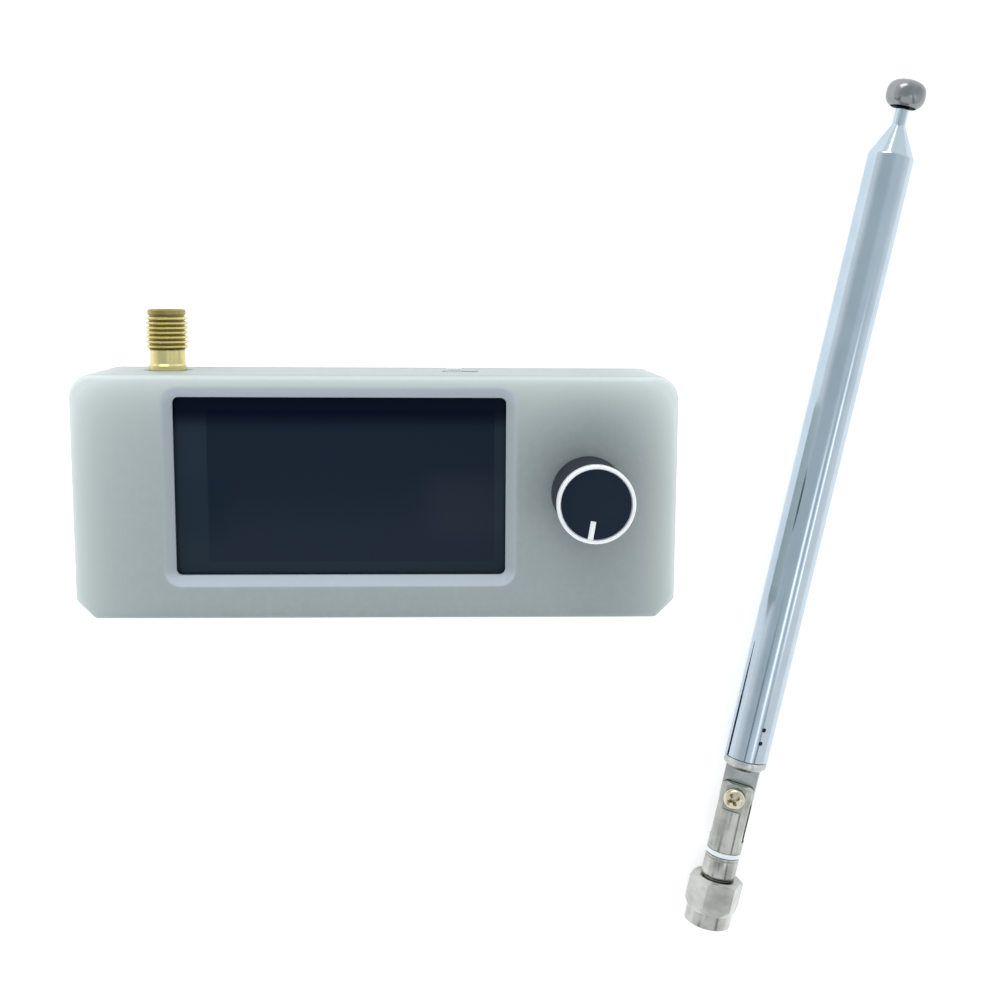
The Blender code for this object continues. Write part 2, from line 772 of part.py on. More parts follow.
def make_switch(metal, white):
    face = INNER_TOP - GAP
    depth = SWITCH_SIZE.y
    frame = add_object(
        "switch_frame",
        box_bm(SWITCH_SIZE),
        metal,
        (SWITCH_AT.x, face - depth / 2, SWITCH_AT.z),
    )
    slot_depth = 2.0 * MM
    slot = box_bm(
        (SWITCH_TRAVEL + 3.0 * MM, depth, 2.2 * MM),
        (0, depth - slot_depth, 0),
    )
    boolean(frame, slot, parent=frame)
    low = face - slot_depth + GAP
    high = CASE_H / 2 + 0.5 * MM
    slider = box_bm(
        (2.4 * MM, high - low, 1.6 * MM),
        (0, (high + low) / 2, 0),
        bevel=0.2 * MM,
    )
    add_object(
        "switch_slider",
        slider,
        white,
        (SWITCH_AT.x - SWITCH_TRAVEL / 2, 0, SWITCH_AT.z),
    )


# ---------------------------------------------------------------- antenna


def make_plug(axis, nickel, white, gold, silicone):
    barrel_r = 2.25 * MM
    body = add_object(
        "plug_body",
        turned_bm(
            [
                (1.95 * MM, 4.4 * MM),
                (barrel_r, 4.4 * MM),
                (barrel_r, 6.4 * MM),
                (2.85 * MM, 6.4 * MM),
                (2.85 * MM, 7.0 * MM),
                (barrel_r, 7.0 * MM),
                (barrel_r, NUT_LENGTH + GAP),
                (COLLAR_R, NUT_LENGTH + GAP),
                (COLLAR_R, COLLAR_END),
                (1.6 * MM, COLLAR_END),
                (1.6 * MM, 9.6 * MM),
                (1.95 * MM, 9.6 * MM),
            ],
            24,
            ring=True,
        ),
        nickel,
        parent=axis,
    )
    smooth(body)
    insulator = turned_bm(
        [(0.75 * MM, 4.4 * MM), (1.65 * MM, 4.4 * MM), (1.65 * MM, 9.3 * MM), (0.75 * MM, 9.3 * MM)],
        SMALL_ROUND,
        ring=True,
    )
    smooth(add_object("plug_insulator", insulator, white, parent=axis))
    pin = turned_bm(
        [
            (0, 2.0 * MM),
            (0.2 * MM, 2.0 * MM),
            (0.46 * MM, 2.5 * MM),
            (0.46 * MM, 9.0 * MM),
            (0, 9.0 * MM),
        ],
        16,
    )
    smooth(add_object("plug_pin", pin, gold, parent=axis))
    gasket = turned_bm(
        [(2.55 * MM, 5.4 * MM), (3.0 * MM, 5.4 * MM), (3.0 * MM, 6.1 * MM), (2.55 * MM, 6.1 * MM)],
        24,
        ring=True,
    )
    smooth(add_object("plug_gasket", gasket, silicone, parent=axis))


def hexagon(flats):
    """A hexagon with flats facing up and down (local Y)."""
    corner = flats / math.sqrt(3)
    return [
        (corner * math.cos(math.pi / 3 * i), corner * math.sin(math.pi / 3 * i))
        for i in range(6)
    ]


def make_nut(axis, nickel):
    nut = add_object(
        "coupling_nut",
        prism_bm(hexagon(NUT_FLATS), NUT_RIM_LENGTH, NUT_LENGTH),
        nickel,
        parent=axis,
    )
    rim = turned_bm(
        [
            (0, 0),
            (NUT_RIM_R - 0.25 * MM, 0),
            (NUT_RIM_R, 0.25 * MM),
            (NUT_RIM_R, NUT_RIM_LENGTH + MM),
            (0, NUT_RIM_LENGTH + MM),
        ],
        ROUND,
    )
    boolean(nut, rim, "UNION", nut)
    # The hexagon's corners are turned away on a cone at the front.
    cone = turned_bm(
        [
            (NUT_RIM_R + 0.05 * MM, NUT_RIM_LENGTH - 0.2 * MM),
            (2 * NUT_RIM_R, NUT_RIM_LENGTH - 0.2 * MM),
            (2 * NUT_RIM_R, NUT_RIM_LENGTH + 2.2 * MM),
        ],
        ROUND,
        ring=True,
    )
    boolean(nut, cone, parent=nut)
    rear_bore_r = 2.5 * MM
    bore = turned_bm(
        [
            (0, -MM),
            (NUT_BORE_R, -MM),
            (NUT_BORE_R, 7.3 * MM),
            (rear_bore_r, 7.3 * MM),
            (rear_bore_r, 12 * MM),
            (0, 12 * MM),
        ],
        24,
    )
    boolean(nut, bore, parent=nut)
    return smooth(nut, 25)


def make_knuckle(roll, white, nickel, steel):
    """The swivel's washer and fork, and the hinge screw through the fork's cheeks."""
    washer = turned_bm(
        [
            (1.9 * MM, COLLAR_END + 0.1 * MM),
            (2.95 * MM, COLLAR_END + 0.1 * MM),
            (2.95 * MM, WASHER_END - 0.1 * MM),
            (1.9 * MM, WASHER_END - 0.1 * MM),
        ],
        24,
        ring=True,
    )
    smooth(add_object("swivel_washer", washer, white, parent=roll))
    stem_low = 10.0 * MM
    fork = add_object(
        "knuckle_fork",
        turned_bm(
            [
                (0, stem_low),
                (1.3 * MM, stem_low),
                (1.3 * MM, WASHER_END),
                (FORK_R, WASHER_END),
                (FORK_R, FORK_END - 0.6 * MM),
                (FORK_R - 0.6 * MM, FORK_END),
                (0, FORK_END),
            ],
            24,
        ),
        nickel,
        parent=roll,
    )
    slot_t = TONGUE_T + 2 * GAP
    slot = box_bm(
        (20 * MM, slot_t, 20 * MM),
        (0, 0, WASHER_END + 2.0 * MM + 10 * MM),
    )
    boolean(fork, slot, parent=fork)
    hole = cylinder_bm(1.1 * MM, -10 * MM, 10 * MM, 16)
    bmesh.ops.rotate(hole, verts=hole.verts[:], matrix=TURN_TO_Y)
    bmesh.ops.translate(hole, verts=hole.verts[:], vec=(0, 0, HINGE_AT))
    boolean(fork, hole, parent=fork)
    seat = box_bm((6 * MM, 2 * MM, 20 * MM), (0, FORK_R + 0.55 * MM, HINGE_AT - 2.2 * MM + 10 * MM))
    boolean(fork, seat, parent=fork)
    smooth(fork, 30)
    head_low = FORK_R - 0.45 * MM + 0.1 * MM
    screw = add_object(
        "hinge_screw",
        turned_bm(
            [
                (0, -FORK_R + 0.3 * MM),
                (0.8 * MM, -FORK_R + 0.3 * MM),
                (0.8 * MM, head_low),
                (SCREW_HEAD_R, head_low),
                (SCREW_HEAD_R, head_low + 0.35 * MM),
                (SCREW_HEAD_R * 0.75, head_low + 0.8 * MM),
                (0, head_low + 0.95 * MM),
            ],
            SMALL_ROUND,
        ),
        steel,
        (0, 0, HINGE_AT),
        (-math.pi / 2, 0, 0),
        roll,
    )
    cut_cross(screw, 2.2 * MM, 0.55 * MM, 0.5 * MM, head_low + 0.95 * MM, math.radians(30))
    smooth(screw)


def make_mast_base(roll, nickel):
    """The flat tongue in the fork, and the stepped collar that the outer tube is crimped on."""
    outline = [(TONGUE_R, TUBE_START), (-TONGUE_R, TUBE_START)]
    steps = 10
    for i in range(steps + 1):
        angle = math.pi + math.pi * i / steps
        outline.append((TONGUE_R * math.cos(angle), HINGE_AT + TONGUE_R * math.sin(angle)))
    tongue = prism_bm(outline, -TONGUE_T / 2, TONGUE_T / 2)
    for v in tongue.verts:
        v.co = Vector((v.co.x, -v.co.z, v.co.y))
    base = add_object("mast_base", tongue, nickel, parent=roll)
    inner = TUBE_R[0] - TUBE_WALL - 0.1 * MM
    low = TUBE_START - 1.9 * MM
    shoulder = TUBE_START - 0.15 * MM
    stub = turned_bm(
        [
            (0, low),
            (inner - 0.5 * MM, low),
            (TUBE_R[0] - 0.1 * MM, low + 0.7 * MM),
            (TUBE_R[0] - 0.1 * MM, shoulder),
            (inner, shoulder),
            (inner, TUBE_START + STUB_LENGTH),
            (0, TUBE_START + STUB_LENGTH),
        ],
        24,
    )
    boolean(base, stub, "UNION", base)
    hole = cylinder_bm(1.0 * MM, -10 * MM, 10 * MM, 16)
    bmesh.ops.rotate(hole, verts=hole.verts[:], matrix=TURN_TO_Y)
    bmesh.ops.translate(hole, verts=hole.verts[:], vec=(0, 0, HINGE_AT))
    boolean(base, hole, parent=base)
    return smooth(base, 30)


def cone_height(radius):
    """The height along the antenna at which that slope has a radius."""
    top_r = ROD_R + 0.35 * MM
    return TUBE_END + CONE_LENGTH * (TUBE_R[0] - radius) / (TUBE_R[0] - top_r)


def inner_low(i):
    """The lower end of tube i, counted from the outside; the inner ones start above the stub."""
    return TUBE_START + (STUB_LENGTH + 0.6 * MM + 0.5 * MM * i if i else 0)


def make_tubes(roll, chrome):
    """Five nested tubes, each with its mouth turned in along the same slope."""
    for i, radius in enumerate(TUBE_R):
        bore = radius - TUBE_WALL
        low = inner_low(i)
        neck_bore = TUBE_R[i + 1] + 0.1 * MM if i < 4 else ROD_R + 0.1 * MM
        neck_r = neck_bore + TUBE_WALL
        shoulder = cone_height(radius)
        mouth = cone_height(neck_r)
        flare = 0.14 * MM if i else 0
        profile = [
            (bore, low),
            (radius + flare, low),
            (radius + flare, low + 2.5 * MM),
            (radius, low + 3.0 * MM),
            (radius, shoulder),
            (neck_r, mouth),
            (neck_bore, mouth),
            (bore, shoulder),
        ]
        tube = add_object(
            f"mast_tube_{i + 1}", turned_bm(profile, 24, ring=True), chrome, parent=roll
        )
        if i == 0:
            slit = box_bm((0.45 * MM, 2 * MM, 18 * MM), (0, TUBE_R[0], TUBE_START + 8 * MM))
            bmesh.ops.rotate(slit, verts=slit.verts[:], matrix=rotation_z(math.radians(-28)))
            boolean(tube, slit, parent=tube)
        smooth(tube)


def make_tip(roll, chrome):
    button_low = ANTENNA_LENGTH - BUTTON_T
    low = inner_low(len(TUBE_R))
    flare = ROD_R + 0.2 * MM
    rod = turned_bm(
        [
            (0, low),
            (flare, low),
            (flare, low + 2.5 * MM),
            (ROD_R, low + 3.0 * MM),
            (ROD_R, button_low + 1.3 * MM),
            (0, button_low + 1.3 * MM),
        ],
        16,
    )
    smooth(add_object("mast_rod", rod, chrome, parent=roll))
    button = turned_bm(
        [
            (BUTTON_BORE_R, button_low + 1.0 * MM),
            (BUTTON_BORE_R, button_low),
            (BUTTON_R - 0.4 * MM, button_low),
            (BUTTON_R, button_low + 0.4 * MM),
            (BUTTON_R, ANTENNA_LENGTH - 0.7 * MM),
            (BUTTON_R - 0.7 * MM, ANTENNA_LENGTH),
            (0, ANTENNA_LENGTH),
            (0, button_low + 1.3 * MM + GAP),
            (ROD_R + 0.3 * MM, button_low + 1.3 * MM + GAP),
            (ROD_R + 0.3 * MM, button_low + 1.0 * MM),
        ],
        ROUND,
        ring=True,
    )
    smooth(add_object("tip_button", button, chrome, parent=roll))


def main():
    clear_scene()
    resin = material("resin_white", (0.62, 0.66, 0.66), 0.45)
    glass = material("display_black", (0.012, 0.016, 0.028), 0.08)
    dark = material("dark_plastic", (0.03, 0.03, 0.035), 0.5)
    white = material("white_plastic", (0.8, 0.8, 0.78), 0.5)
    board = material("board_green", (0.02, 0.16, 0.07), 0.4)
    tin = material("tin_plate", (0.6, 0.6, 0.6), 0.3, 1.0)
    steel = material("screw_steel", (0.45, 0.44, 0.42), 0.35, 1.0)
    gold = material("gold_plate", (0.83, 0.66, 0.28), 0.25, 1.0)
    foil = material("cell_foil", (0.55, 0.56, 0.58), 0.35, 0.8)
    tape = material("foam_tape", (0.05, 0.05, 0.05), 0.9)
    red = material("lead_red", (0.6, 0.03, 0.02), 0.5)
    black = material("lead_black", (0.02, 0.02, 0.02), 0.5)
    knob_black = material("knob_black", (0.03, 0.034, 0.04), 0.55)
    knob_face = material("knob_anodised", (0.02, 0.03, 0.045), 0.35, 0.6)
    pointer = material("pointer_silver", (0.85, 0.85, 0.85), 0.3, 1.0)
    nickel = material("nickel_plate", (0.7, 0.68, 0.64), 0.2, 1.0)
    chrome = material("chrome_plate", (0.75, 0.78, 0.82), 0.1, 1.0)
    silicone = material("gasket_silicone", (0.6, 0.12, 0.08), 0.6)

    make_front_shell(resin)
    make_rear_cover(resin)
    make_screws(steel)
    make_display(glass, dark, board, tin)
    make_usb(tin)
    make_usb_tongue(dark)
    make_boards(board, dark, tin)
    make_battery(foil, white, tape, red, black)
    shaft_low = make_encoder(dark, tin)
    make_knob(shaft_low, tin, knob_black, knob_face, pointer)
    make_jack(gold, white)
    make_switch(tin, white)
    antenna = empty("antenna_axis", ANTENNA_AT, (math.pi / 2 + ANTENNA_DIP, 0, math.pi - ANTENNA_LEAN))
    roll = empty("knuckle_axis", (0, 0, 0), (0, 0, KNUCKLE_ROLL), antenna)
    make_plug(antenna, nickel, white, gold, silicone)
    make_nut(antenna, nickel)
    make_knuckle(roll, white, nickel, steel)
    make_mast_base(roll, nickel)
    make_tubes(roll, chrome)
    make_tip(roll, chrome)


main()
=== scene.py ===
import json
import math

import bmesh
import bpy
from mathutils import Matrix, Vector


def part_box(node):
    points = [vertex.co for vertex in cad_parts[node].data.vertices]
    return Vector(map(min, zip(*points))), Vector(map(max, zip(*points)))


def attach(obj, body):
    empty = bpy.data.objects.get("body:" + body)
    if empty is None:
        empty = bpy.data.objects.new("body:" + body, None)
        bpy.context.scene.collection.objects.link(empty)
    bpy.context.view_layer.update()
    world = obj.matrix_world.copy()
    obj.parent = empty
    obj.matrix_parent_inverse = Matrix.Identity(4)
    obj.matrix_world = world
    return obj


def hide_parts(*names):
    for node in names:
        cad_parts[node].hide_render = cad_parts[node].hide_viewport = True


# The looks of a handheld spectrum analyser and of the folding telescopic antenna beside it.
# Lengths are in metres, +Z is the way the display faces, and the case lies on its back at z = 0.

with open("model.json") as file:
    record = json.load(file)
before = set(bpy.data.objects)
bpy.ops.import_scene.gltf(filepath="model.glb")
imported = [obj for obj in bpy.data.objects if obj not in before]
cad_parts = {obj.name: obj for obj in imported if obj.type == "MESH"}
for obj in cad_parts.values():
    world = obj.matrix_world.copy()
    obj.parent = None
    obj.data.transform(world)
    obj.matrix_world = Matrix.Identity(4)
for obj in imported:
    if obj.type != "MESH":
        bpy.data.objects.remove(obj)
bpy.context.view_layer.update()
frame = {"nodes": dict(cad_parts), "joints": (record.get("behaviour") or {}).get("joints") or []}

MM = 0.001
ROUND = 96  # steps round a large turned piece
FINE = 48  # steps round a small one


# ---------------- places taken from the frame


def joint(name):
    return next(j for j in frame["joints"] if j["name"] == name)


def upright(origin, along, up=(0, 0, 1)):
    """A place whose Z runs along one direction, and whose Y is as near as can be to another."""
    z = Vector(along).normalized()
    y = (Vector(up) - z * z.dot(Vector(up))).normalized()
    return Matrix.Translation(origin) @ Matrix((y.cross(z), y, z)).transposed().to_4x4()


def reach(node, place):
    """A CAD node's lowest and highest height and greatest radius about a place's Z axis, in
    millimetres."""
    back = place.inverted()
    points = [back @ v.co / MM for v in frame["nodes"][node].data.vertices]
    heights = [p.z for p in points]
    return min(heights), max(heights), max(math.hypot(p.x, p.y) for p in points)


def middle(node):
    """The centre and the size of a CAD node's box."""
    low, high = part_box(node)
    return (low + high) / 2, high - low


CASE_LOW, CASE_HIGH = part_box("front_shell")
COVER_LOW, COVER_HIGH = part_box("rear_cover")
WINDOW_AT, GLASS_SIZE = middle("display_glass")
KNOB_LOW, KNOB_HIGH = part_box("knob_body")
KNOB = Matrix.Translation((*middle("knob_cap")[0].xy, 0))
JACK_AT, JACK_SIZE = middle("jack_body")
JACK = upright((JACK_AT.x, CASE_HIGH.y, JACK_AT.z), (0, 1, 0))
NUT, FOLD = joint("nut_turn"), joint("mast_fold")
ANTENNA = upright(NUT["pos_m"], NUT["axis"])
SCREW_AXIS = -Vector(FOLD["axis"])
ELBOW = upright(NUT["pos_m"], NUT["axis"], SCREW_AXIS)
HINGE = upright(FOLD["pos_m"], SCREW_AXIS, NUT["axis"])
HINGE_AT = (ELBOW.inverted() @ Vector(FOLD["pos_m"])).z

TOP_CORNER = 3.6 * MM
BOTTOM_CHAMFER = 2.8 * MM
CHAMFER_SOFTENING = 0.5 * MM
FRONT_ROUND = 2.4 * MM
BACK_ROUND = 0.8 * MM
WALL = 2.0 * MM
WINDOW_W, WINDOW_H = 49.2 * MM, 26.7 * MM
WINDOW_SLOPE = 1.5 * MM
WINDOW_CORNER = 0.9 * MM
INNER_FRONT = CASE_HIGH.z - WALL

# Lengths that two or more pieces share, in millimetres as the profiles are.
PITCH = 0.7055  # the coaxial connectors' thread, 36 turns to the inch
SOCKET_BORE = 0.75
STUB_RADIUS = 3.25
ROD_RADIUS = 1.02
MARK_RADIUS = 0.36
SLIT_BEARING = math.radians(-50)


# ---------------- shapes


def turned(profile, sides=ROUND, ring=False):
    """A profile of (radius, height) points in millimetres spun about Z. A ring's profile is
    closed; any other runs from the axis to the axis."""
    bm = bmesh.new()
    points = [bm.verts.new((r * MM, 0, z * MM)) for r, z in profile]
    edges = [bm.edges.new(pair) for pair in zip(points, points[1:])]
    if ring:
        edges.append(bm.edges.new((points[-1], points[0])))
    bmesh.ops.spin(
        bm, geom=points + edges, cent=(0, 0, 0), axis=(0, 0, 1), angle=math.tau, steps=sides,
        use_merge=True,
    )
    bmesh.ops.remove_doubles(bm, verts=bm.verts[:], dist=1e-7)
    return face_out(bm)


def eased(profile, radius, steps=3, ring=False):
    """The profile with a small arc of one radius at each corner."""
    count = len(profile)
    eased_points = []
    for i, corner in enumerate(profile):
        if not ring and i in (0, count - 1):
            eased_points.append(corner)
            continue
        at = Vector(corner)
        before = Vector(profile[i - 1]) - at
        after = Vector(profile[(i + 1) % count]) - at
        turn = math.pi - before.angle(after)
        if turn < 0.15:
            eased_points.append(corner)
            continue
        cut = min(radius * math.tan(turn / 2), before.length * 0.45, after.length * 0.45)
        start, end = at + before.normalized() * cut, at + after.normalized() * cut
        for k in range(steps + 1):
            t = k / steps
            eased_points.append(tuple(start * (1 - t) ** 2 + at * 2 * t * (1 - t) + end * t * t))
    return eased_points


def prism(outline, low, high):
    """A straight prism over an outline, from height low to high, all in metres."""
    bm = bmesh.new()
    base = bm.faces.new([bm.verts.new((x, y, low)) for x, y in outline])
    top = bmesh.ops.extrude_face_region(bm, geom=[base])
    raised = [v for v in top["geom"] if isinstance(v, bmesh.types.BMVert)]
    bmesh.ops.translate(bm, verts=raised, vec=(0, 0, high - low))
    return face_out(bm)


def block(size, centre=(0, 0, 0), bevel=0.0, segments=3):
    bm = bmesh.new()
    bmesh.ops.create_cube(bm, size=1.0)
    bmesh.ops.scale(bm, verts=bm.verts[:], vec=size)
    if bevel:
        round_edges(bm, bm.edges[:], bevel, segments)
    return shifted(bm, centre)


def pillar(radius, low, high, at=(0, 0), sides=FINE):
    bm = turned([(0, low), (radius, low), (radius, high), (0, high)], sides)
    return shifted(bm, (*at, 0))


def mesh_of(bm, name="scratch"):
    mesh = bpy.data.meshes.new(name)
    bm.to_mesh(mesh)
    bm.free()
    return mesh


def added(name, data):
    obj = bpy.data.objects.new(name, data)
    bpy.context.scene.collection.objects.link(obj)
    return obj


def round_edges(bm, edges, offset, segments):
    bmesh.ops.bevel(
        bm, geom=edges, offset=offset, segments=segments, profile=0.5, affect="EDGES",
        material=-1, clamp_overlap=True,
    )
    return bm


def rim_edges(bm, height):
    return [e for e in bm.edges if all(abs(v.co.z - height) < 1e-7 for v in e.verts)]


def face_out(bm):
    bmesh.ops.recalc_face_normals(bm, faces=bm.faces[:])
    if bm.calc_volume(signed=True) < 0:
        bmesh.ops.reverse_faces(bm, faces=bm.faces[:])
    return bm


def moved(bm, place):
    bmesh.ops.transform(bm, verts=bm.verts[:], matrix=place)
    return bm


def shifted(bm, offset):
    return moved(bm, Matrix.Translation(offset))


def together(parts):
    """Several closed bodies in one bmesh, for cutting or joining in one go."""
    joined = bmesh.new()
    for part in parts:
        scrap = mesh_of(part)
        joined.from_mesh(scrap)
        bpy.data.meshes.remove(scrap)
    return joined


def combined(bm, other, operation="DIFFERENCE"):
    """One bmesh cut from, joined to or crossed with another."""
    base, tool = (added("scratch", mesh_of(one)) for one in (bm, other))
    modifier = base.modifiers.new(operation.title(), "BOOLEAN")
    modifier.operation = operation
    modifier.object = tool
    graph = bpy.context.evaluated_depsgraph_get()
    mesh = bpy.data.meshes.new_from_object(base.evaluated_get(graph))
    made = bmesh.new()
    made.from_mesh(mesh)
    for used in (base, tool):
        used_mesh = used.data
        bpy.data.objects.remove(used)
        bpy.data.meshes.remove(used_mesh)
    bpy.data.meshes.remove(mesh)
    bmesh.ops.remove_doubles(made, verts=made.verts[:], dist=2e-7)
    return made


def piece(name, bm, finish, body, stands_for=(), place=None, edge=0.0, sharp=32):
    """Makes bm a piece that rides on a body. An edge is the width of its softened corners."""
    if place is not None:
        moved(bm, place)
    mesh = mesh_of(face_out(bm), name)
    obj = added(name, mesh)
    mesh.materials.append(finish)
    mesh.shade_smooth()
    if edge:
        softened = obj.modifiers.new("Softened", "BEVEL")
        softened.width = edge
        softened.segments = 2
        softened.limit_method = "ANGLE"
        softened.angle_limit = math.radians(sharp)
        softened.miter_outer = "MITER_ARC"
        softened.harden_normals = True
    else:
        mesh.set_sharp_from_angle(angle=math.radians(sharp))
    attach(obj, body)
    if stands_for:
        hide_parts(*stands_for)
    return obj


def sleeve(node, name, bore, ease, finish, body, place, sides=FINE, steps=3, sharp=32):
    """A plain ring with eased corners, in the place of its CAD node."""
    low, high, radius = reach(node, place)
    ring = eased([(bore, low), (radius, low), (radius, high), (bore, high)], ease, steps, True)
    piece(name, turned(ring, sides, True), finish, body, (node,), place, sharp=sharp)


def across_hinge(radius):
    """A round cutter along the hinge screw."""
    across = Matrix.Translation((0, 0, HINGE_AT)) @ Matrix.Rotation(math.pi / 2, 4, "X")
    return moved(pillar(radius, -10, 10), across)


def seam_cutter(outline, radius, tube_low, depth):
    """A cutter through a round wall, over the line of the outer tube's seam slit."""
    slit = prism([(x * MM, z * MM) for x, z in outline], -depth * MM, depth * MM)
    slit = moved(slit, Matrix.Rotation(math.pi / 2, 4, "X"))
    slit = shifted(slit, (0, radius * MM, tube_low * MM))
    return face_out(moved(slit, Matrix.Rotation(SLIT_BEARING, 4, "Z")))


# ---------------- shader maths


def operator(operation, flipped=False):
    def apply(self, other):
        return self.maths(operation, *((other, self) if flipped else (self, other)))

    return apply


class Wire:
    """A shader socket that takes arithmetic: each operator adds its Math node."""

    __add__ = __radd__ = operator("ADD")
    __mul__ = __rmul__ = operator("MULTIPLY")
    __sub__ = operator("SUBTRACT")
    __rsub__ = operator("SUBTRACT", flipped=True)
    __truediv__ = operator("DIVIDE")
    __pow__ = operator("POWER")
    most = operator("MAXIMUM")
    least = operator("MINIMUM")

    def __init__(self, paint, socket):
        self.paint = paint
        self.socket = socket

    def maths(self, operation, *values):
        return self.paint.node("Math", {"operation": operation}, dict(enumerate(values)))

    def __neg__(self):
        return 0.0 - self

    def __abs__(self):
        return self.maths("ABSOLUTE", self)

    def exponent(self):
        return self.maths("EXPONENT", self)

    def over(self, low, high):
        """0 below low, 1 above high, and a smooth rise between them."""
        limits = {"Value": self, "From Min": low, "From Max": high}
        return self.paint.node("MapRange", {"interpolation_type": "SMOOTHSTEP"}, limits)


class Paint:
    """The nodes of one material or world."""

    def __init__(self, owner):
        self.owner = owner
        owner.use_nodes = True
        self.tree = owner.node_tree
        self.tree.nodes.clear()

    def node(self, kind, settings=None, values=None, output=0):
        """Adds a shader node: first its settings, then its sockets' values or links."""
        made = self.tree.nodes.new("ShaderNode" + kind)
        for key, value in (settings or {}).items():
            setattr(made, key, value)
        for key, value in (values or {}).items():
            if isinstance(value, Wire):
                self.tree.links.new(value.socket, made.inputs[key])
            else:
                made.inputs[key].default_value = value
        return Wire(self, made.outputs[output]) if made.outputs else None

    def place(self, offset=(0, 0, 0), turn=(0, 0, 0), scale=(1, 1, 1)):
        """Object coordinates, moved so that offset is the origin, then turned and scaled."""
        here = self.node("TexCoord", output="Object")
        back = self.node(
            "VectorMath", {"operation": "SUBTRACT"}, {0: here, 1: tuple(offset)}
        )
        turned_back = self.node(
            "Mapping", {"vector_type": "POINT"}, {"Vector": back, "Rotation": turn}
        )
        return self.node(
            "VectorMath", {"operation": "MULTIPLY"}, {0: turned_back, 1: tuple(scale)}
        )

    def local(self, matrix, scale=(1, 1, 1)):
        """Coordinates in a place's own frame, in metres times the scale."""
        turn = matrix.to_3x3().inverted().to_euler("XYZ")
        return self.place(matrix.translation, tuple(turn), scale)

    def axes(self, vector):
        return [self.node("SeparateXYZ", values={"Vector": vector}, output=i) for i in range(3)]

    def noise(self, scale, detail=3.0, vector=None, roughness=0.5):
        values = {"Scale": scale, "Detail": detail, "Roughness": roughness}
        values["Vector"] = vector if vector is not None else self.place()
        return self.node("TexNoise", values=values)

    def mix(self, factor, first, second):
        """A colour between two, each a triple or a wire."""
        sides = [c if isinstance(c, Wire) else (*c, 1.0) for c in (first, second)]
        values = {0: factor, 6: sides[0], 7: sides[1]}
        return self.node("Mix", {"data_type": "RGBA"}, values, 2)

    def bump(self, height, depth, strength=1.0, normal=None):
        """A Normal from a height that runs from 0 to 1 over a depth in metres."""
        values = {"Height": height, "Distance": depth, "Strength": strength}
        if normal is not None:
            values["Normal"] = normal
        return self.node("Bump", values=values)

    def done(self, **sockets):
        """The Principled shader with these sockets, and the finished material."""
        values = {key.replace("_", " "): value for key, value in sockets.items()}
        shader = self.node("BsdfPrincipled", values=values)
        self.node("OutputMaterial", values={"Surface": shader})
        return self.owner


def material_paint(name):
    return Paint(bpy.data.materials.new(name))


def band(value, start, full, fade, end):
    """1 between full and fade, and 0 outside start and end."""
    return value.over(start, full) * (1 - value.over(fade, end))


# ---------------- finishes


def resin_finish():
    """Milky resin, with light and shade painted into its colour: painted light along the rim and on
    the window's slope, and painted shade round the knob, to the right of the window and along the
    bottom edge."""
    paint = material_paint("milky_resin")
    x, y, z = paint.axes(paint.place())
    depth = [CASE_HIGH.x + x, CASE_HIGH.x - x, CASE_HIGH.y - y]
    left, right, top = (painted_rim_light(d) for d in depth)
    # Painted shade: a soft dark patch round the knob, centred a little above it.
    painted_shade_centre = KNOB.translation + Vector((0, 3 * MM, 0))
    knob_x, knob_y, _ = paint.axes(paint.place(painted_shade_centre))
    painted_shade_round_knob = 1 - ((knob_x * knob_x + knob_y * knob_y) ** 0.5).over(3 * MM, 15 * MM)
    # Painted shade: darker towards the right of the window.
    beside = x.over(25 * MM, 33 * MM) * 0.32
    cloud = paint.noise(70.0, 2.0)
    mottle = paint.noise(900.0, 4.0)
    # Painted shade: darker along the bottom edge.
    painted_shade_bottom = ((y + CASE_HIGH.y).most(0.0) / (-0.9 * MM)).exponent() * 0.6
    # The painted shade, with random clouding, mixes the resin's colour towards a darker, shaded
    # copy of it.
    shade = (painted_shade_round_knob * 0.75 + beside + painted_shade_bottom + (cloud - 0.5) * 0.3).most(0.0).least(1.0)
    body = paint.mix(shade, (0.35, 0.396, 0.402), (0.232, 0.272, 0.29))
    # Painted light: the colour turns paler near the left, right and top edges, most on the face.
    on_face = z.over(CASE_HIGH.z - 0.7 * MM, CASE_HIGH.z - 0.02 * MM)
    rim = (top * (on_face * 0.8 + 0.2) + (left + right) * (on_face * 0.3 + 0.7)).least(1.0)
    body = paint.mix(rim, body, (0.76, 0.815, 0.795))
    window_x, window_y, window_z = paint.axes(paint.place((*WINDOW_AT.xy, CASE_HIGH.z)))
    reach_x = WINDOW_W / 2 + WINDOW_SLOPE
    reach_y = WINDOW_H / 2 + WINDOW_SLOPE
    beside_window = 1 - abs(window_x).over(reach_x, reach_x + 0.3 * MM)
    beside_window = beside_window * (1 - abs(window_y).over(reach_y, reach_y + 0.3 * MM))
    # Painted light: the window's slope is painted paler and bluer, most along its top and bottom
    # sides.
    slope = beside_window * (-window_z).over(0.02 * MM, 0.2 * MM)
    painted_light_top_bottom = abs(window_y).over(0.45 * WINDOW_H, 0.52 * WINDOW_H)
    body = paint.mix(slope * (painted_light_top_bottom * 0.65 + 0.35), body, (0.53, 0.585, 0.665))
    speck = paint.mix(mottle.over(0.4, 0.75) * 0.1, body, (0.55, 0.6, 0.6))
    grain = paint.noise(6500.0, 3.0)
    wave = paint.noise(260.0, 2.0)
    skin = paint.bump(grain, 0.00001, 0.5)
    return paint.done(
        Base_Color=speck,
        Roughness=grain * 0.12 + 0.4,
        Subsurface_Weight=0.25,
        Subsurface_Radius=(0.9, 1.0, 1.05),
        Subsurface_Scale=0.0015,
        Specular_IOR_Level=0.35,
        Normal=paint.bump(wave, 0.00003, 0.5, skin),
    )


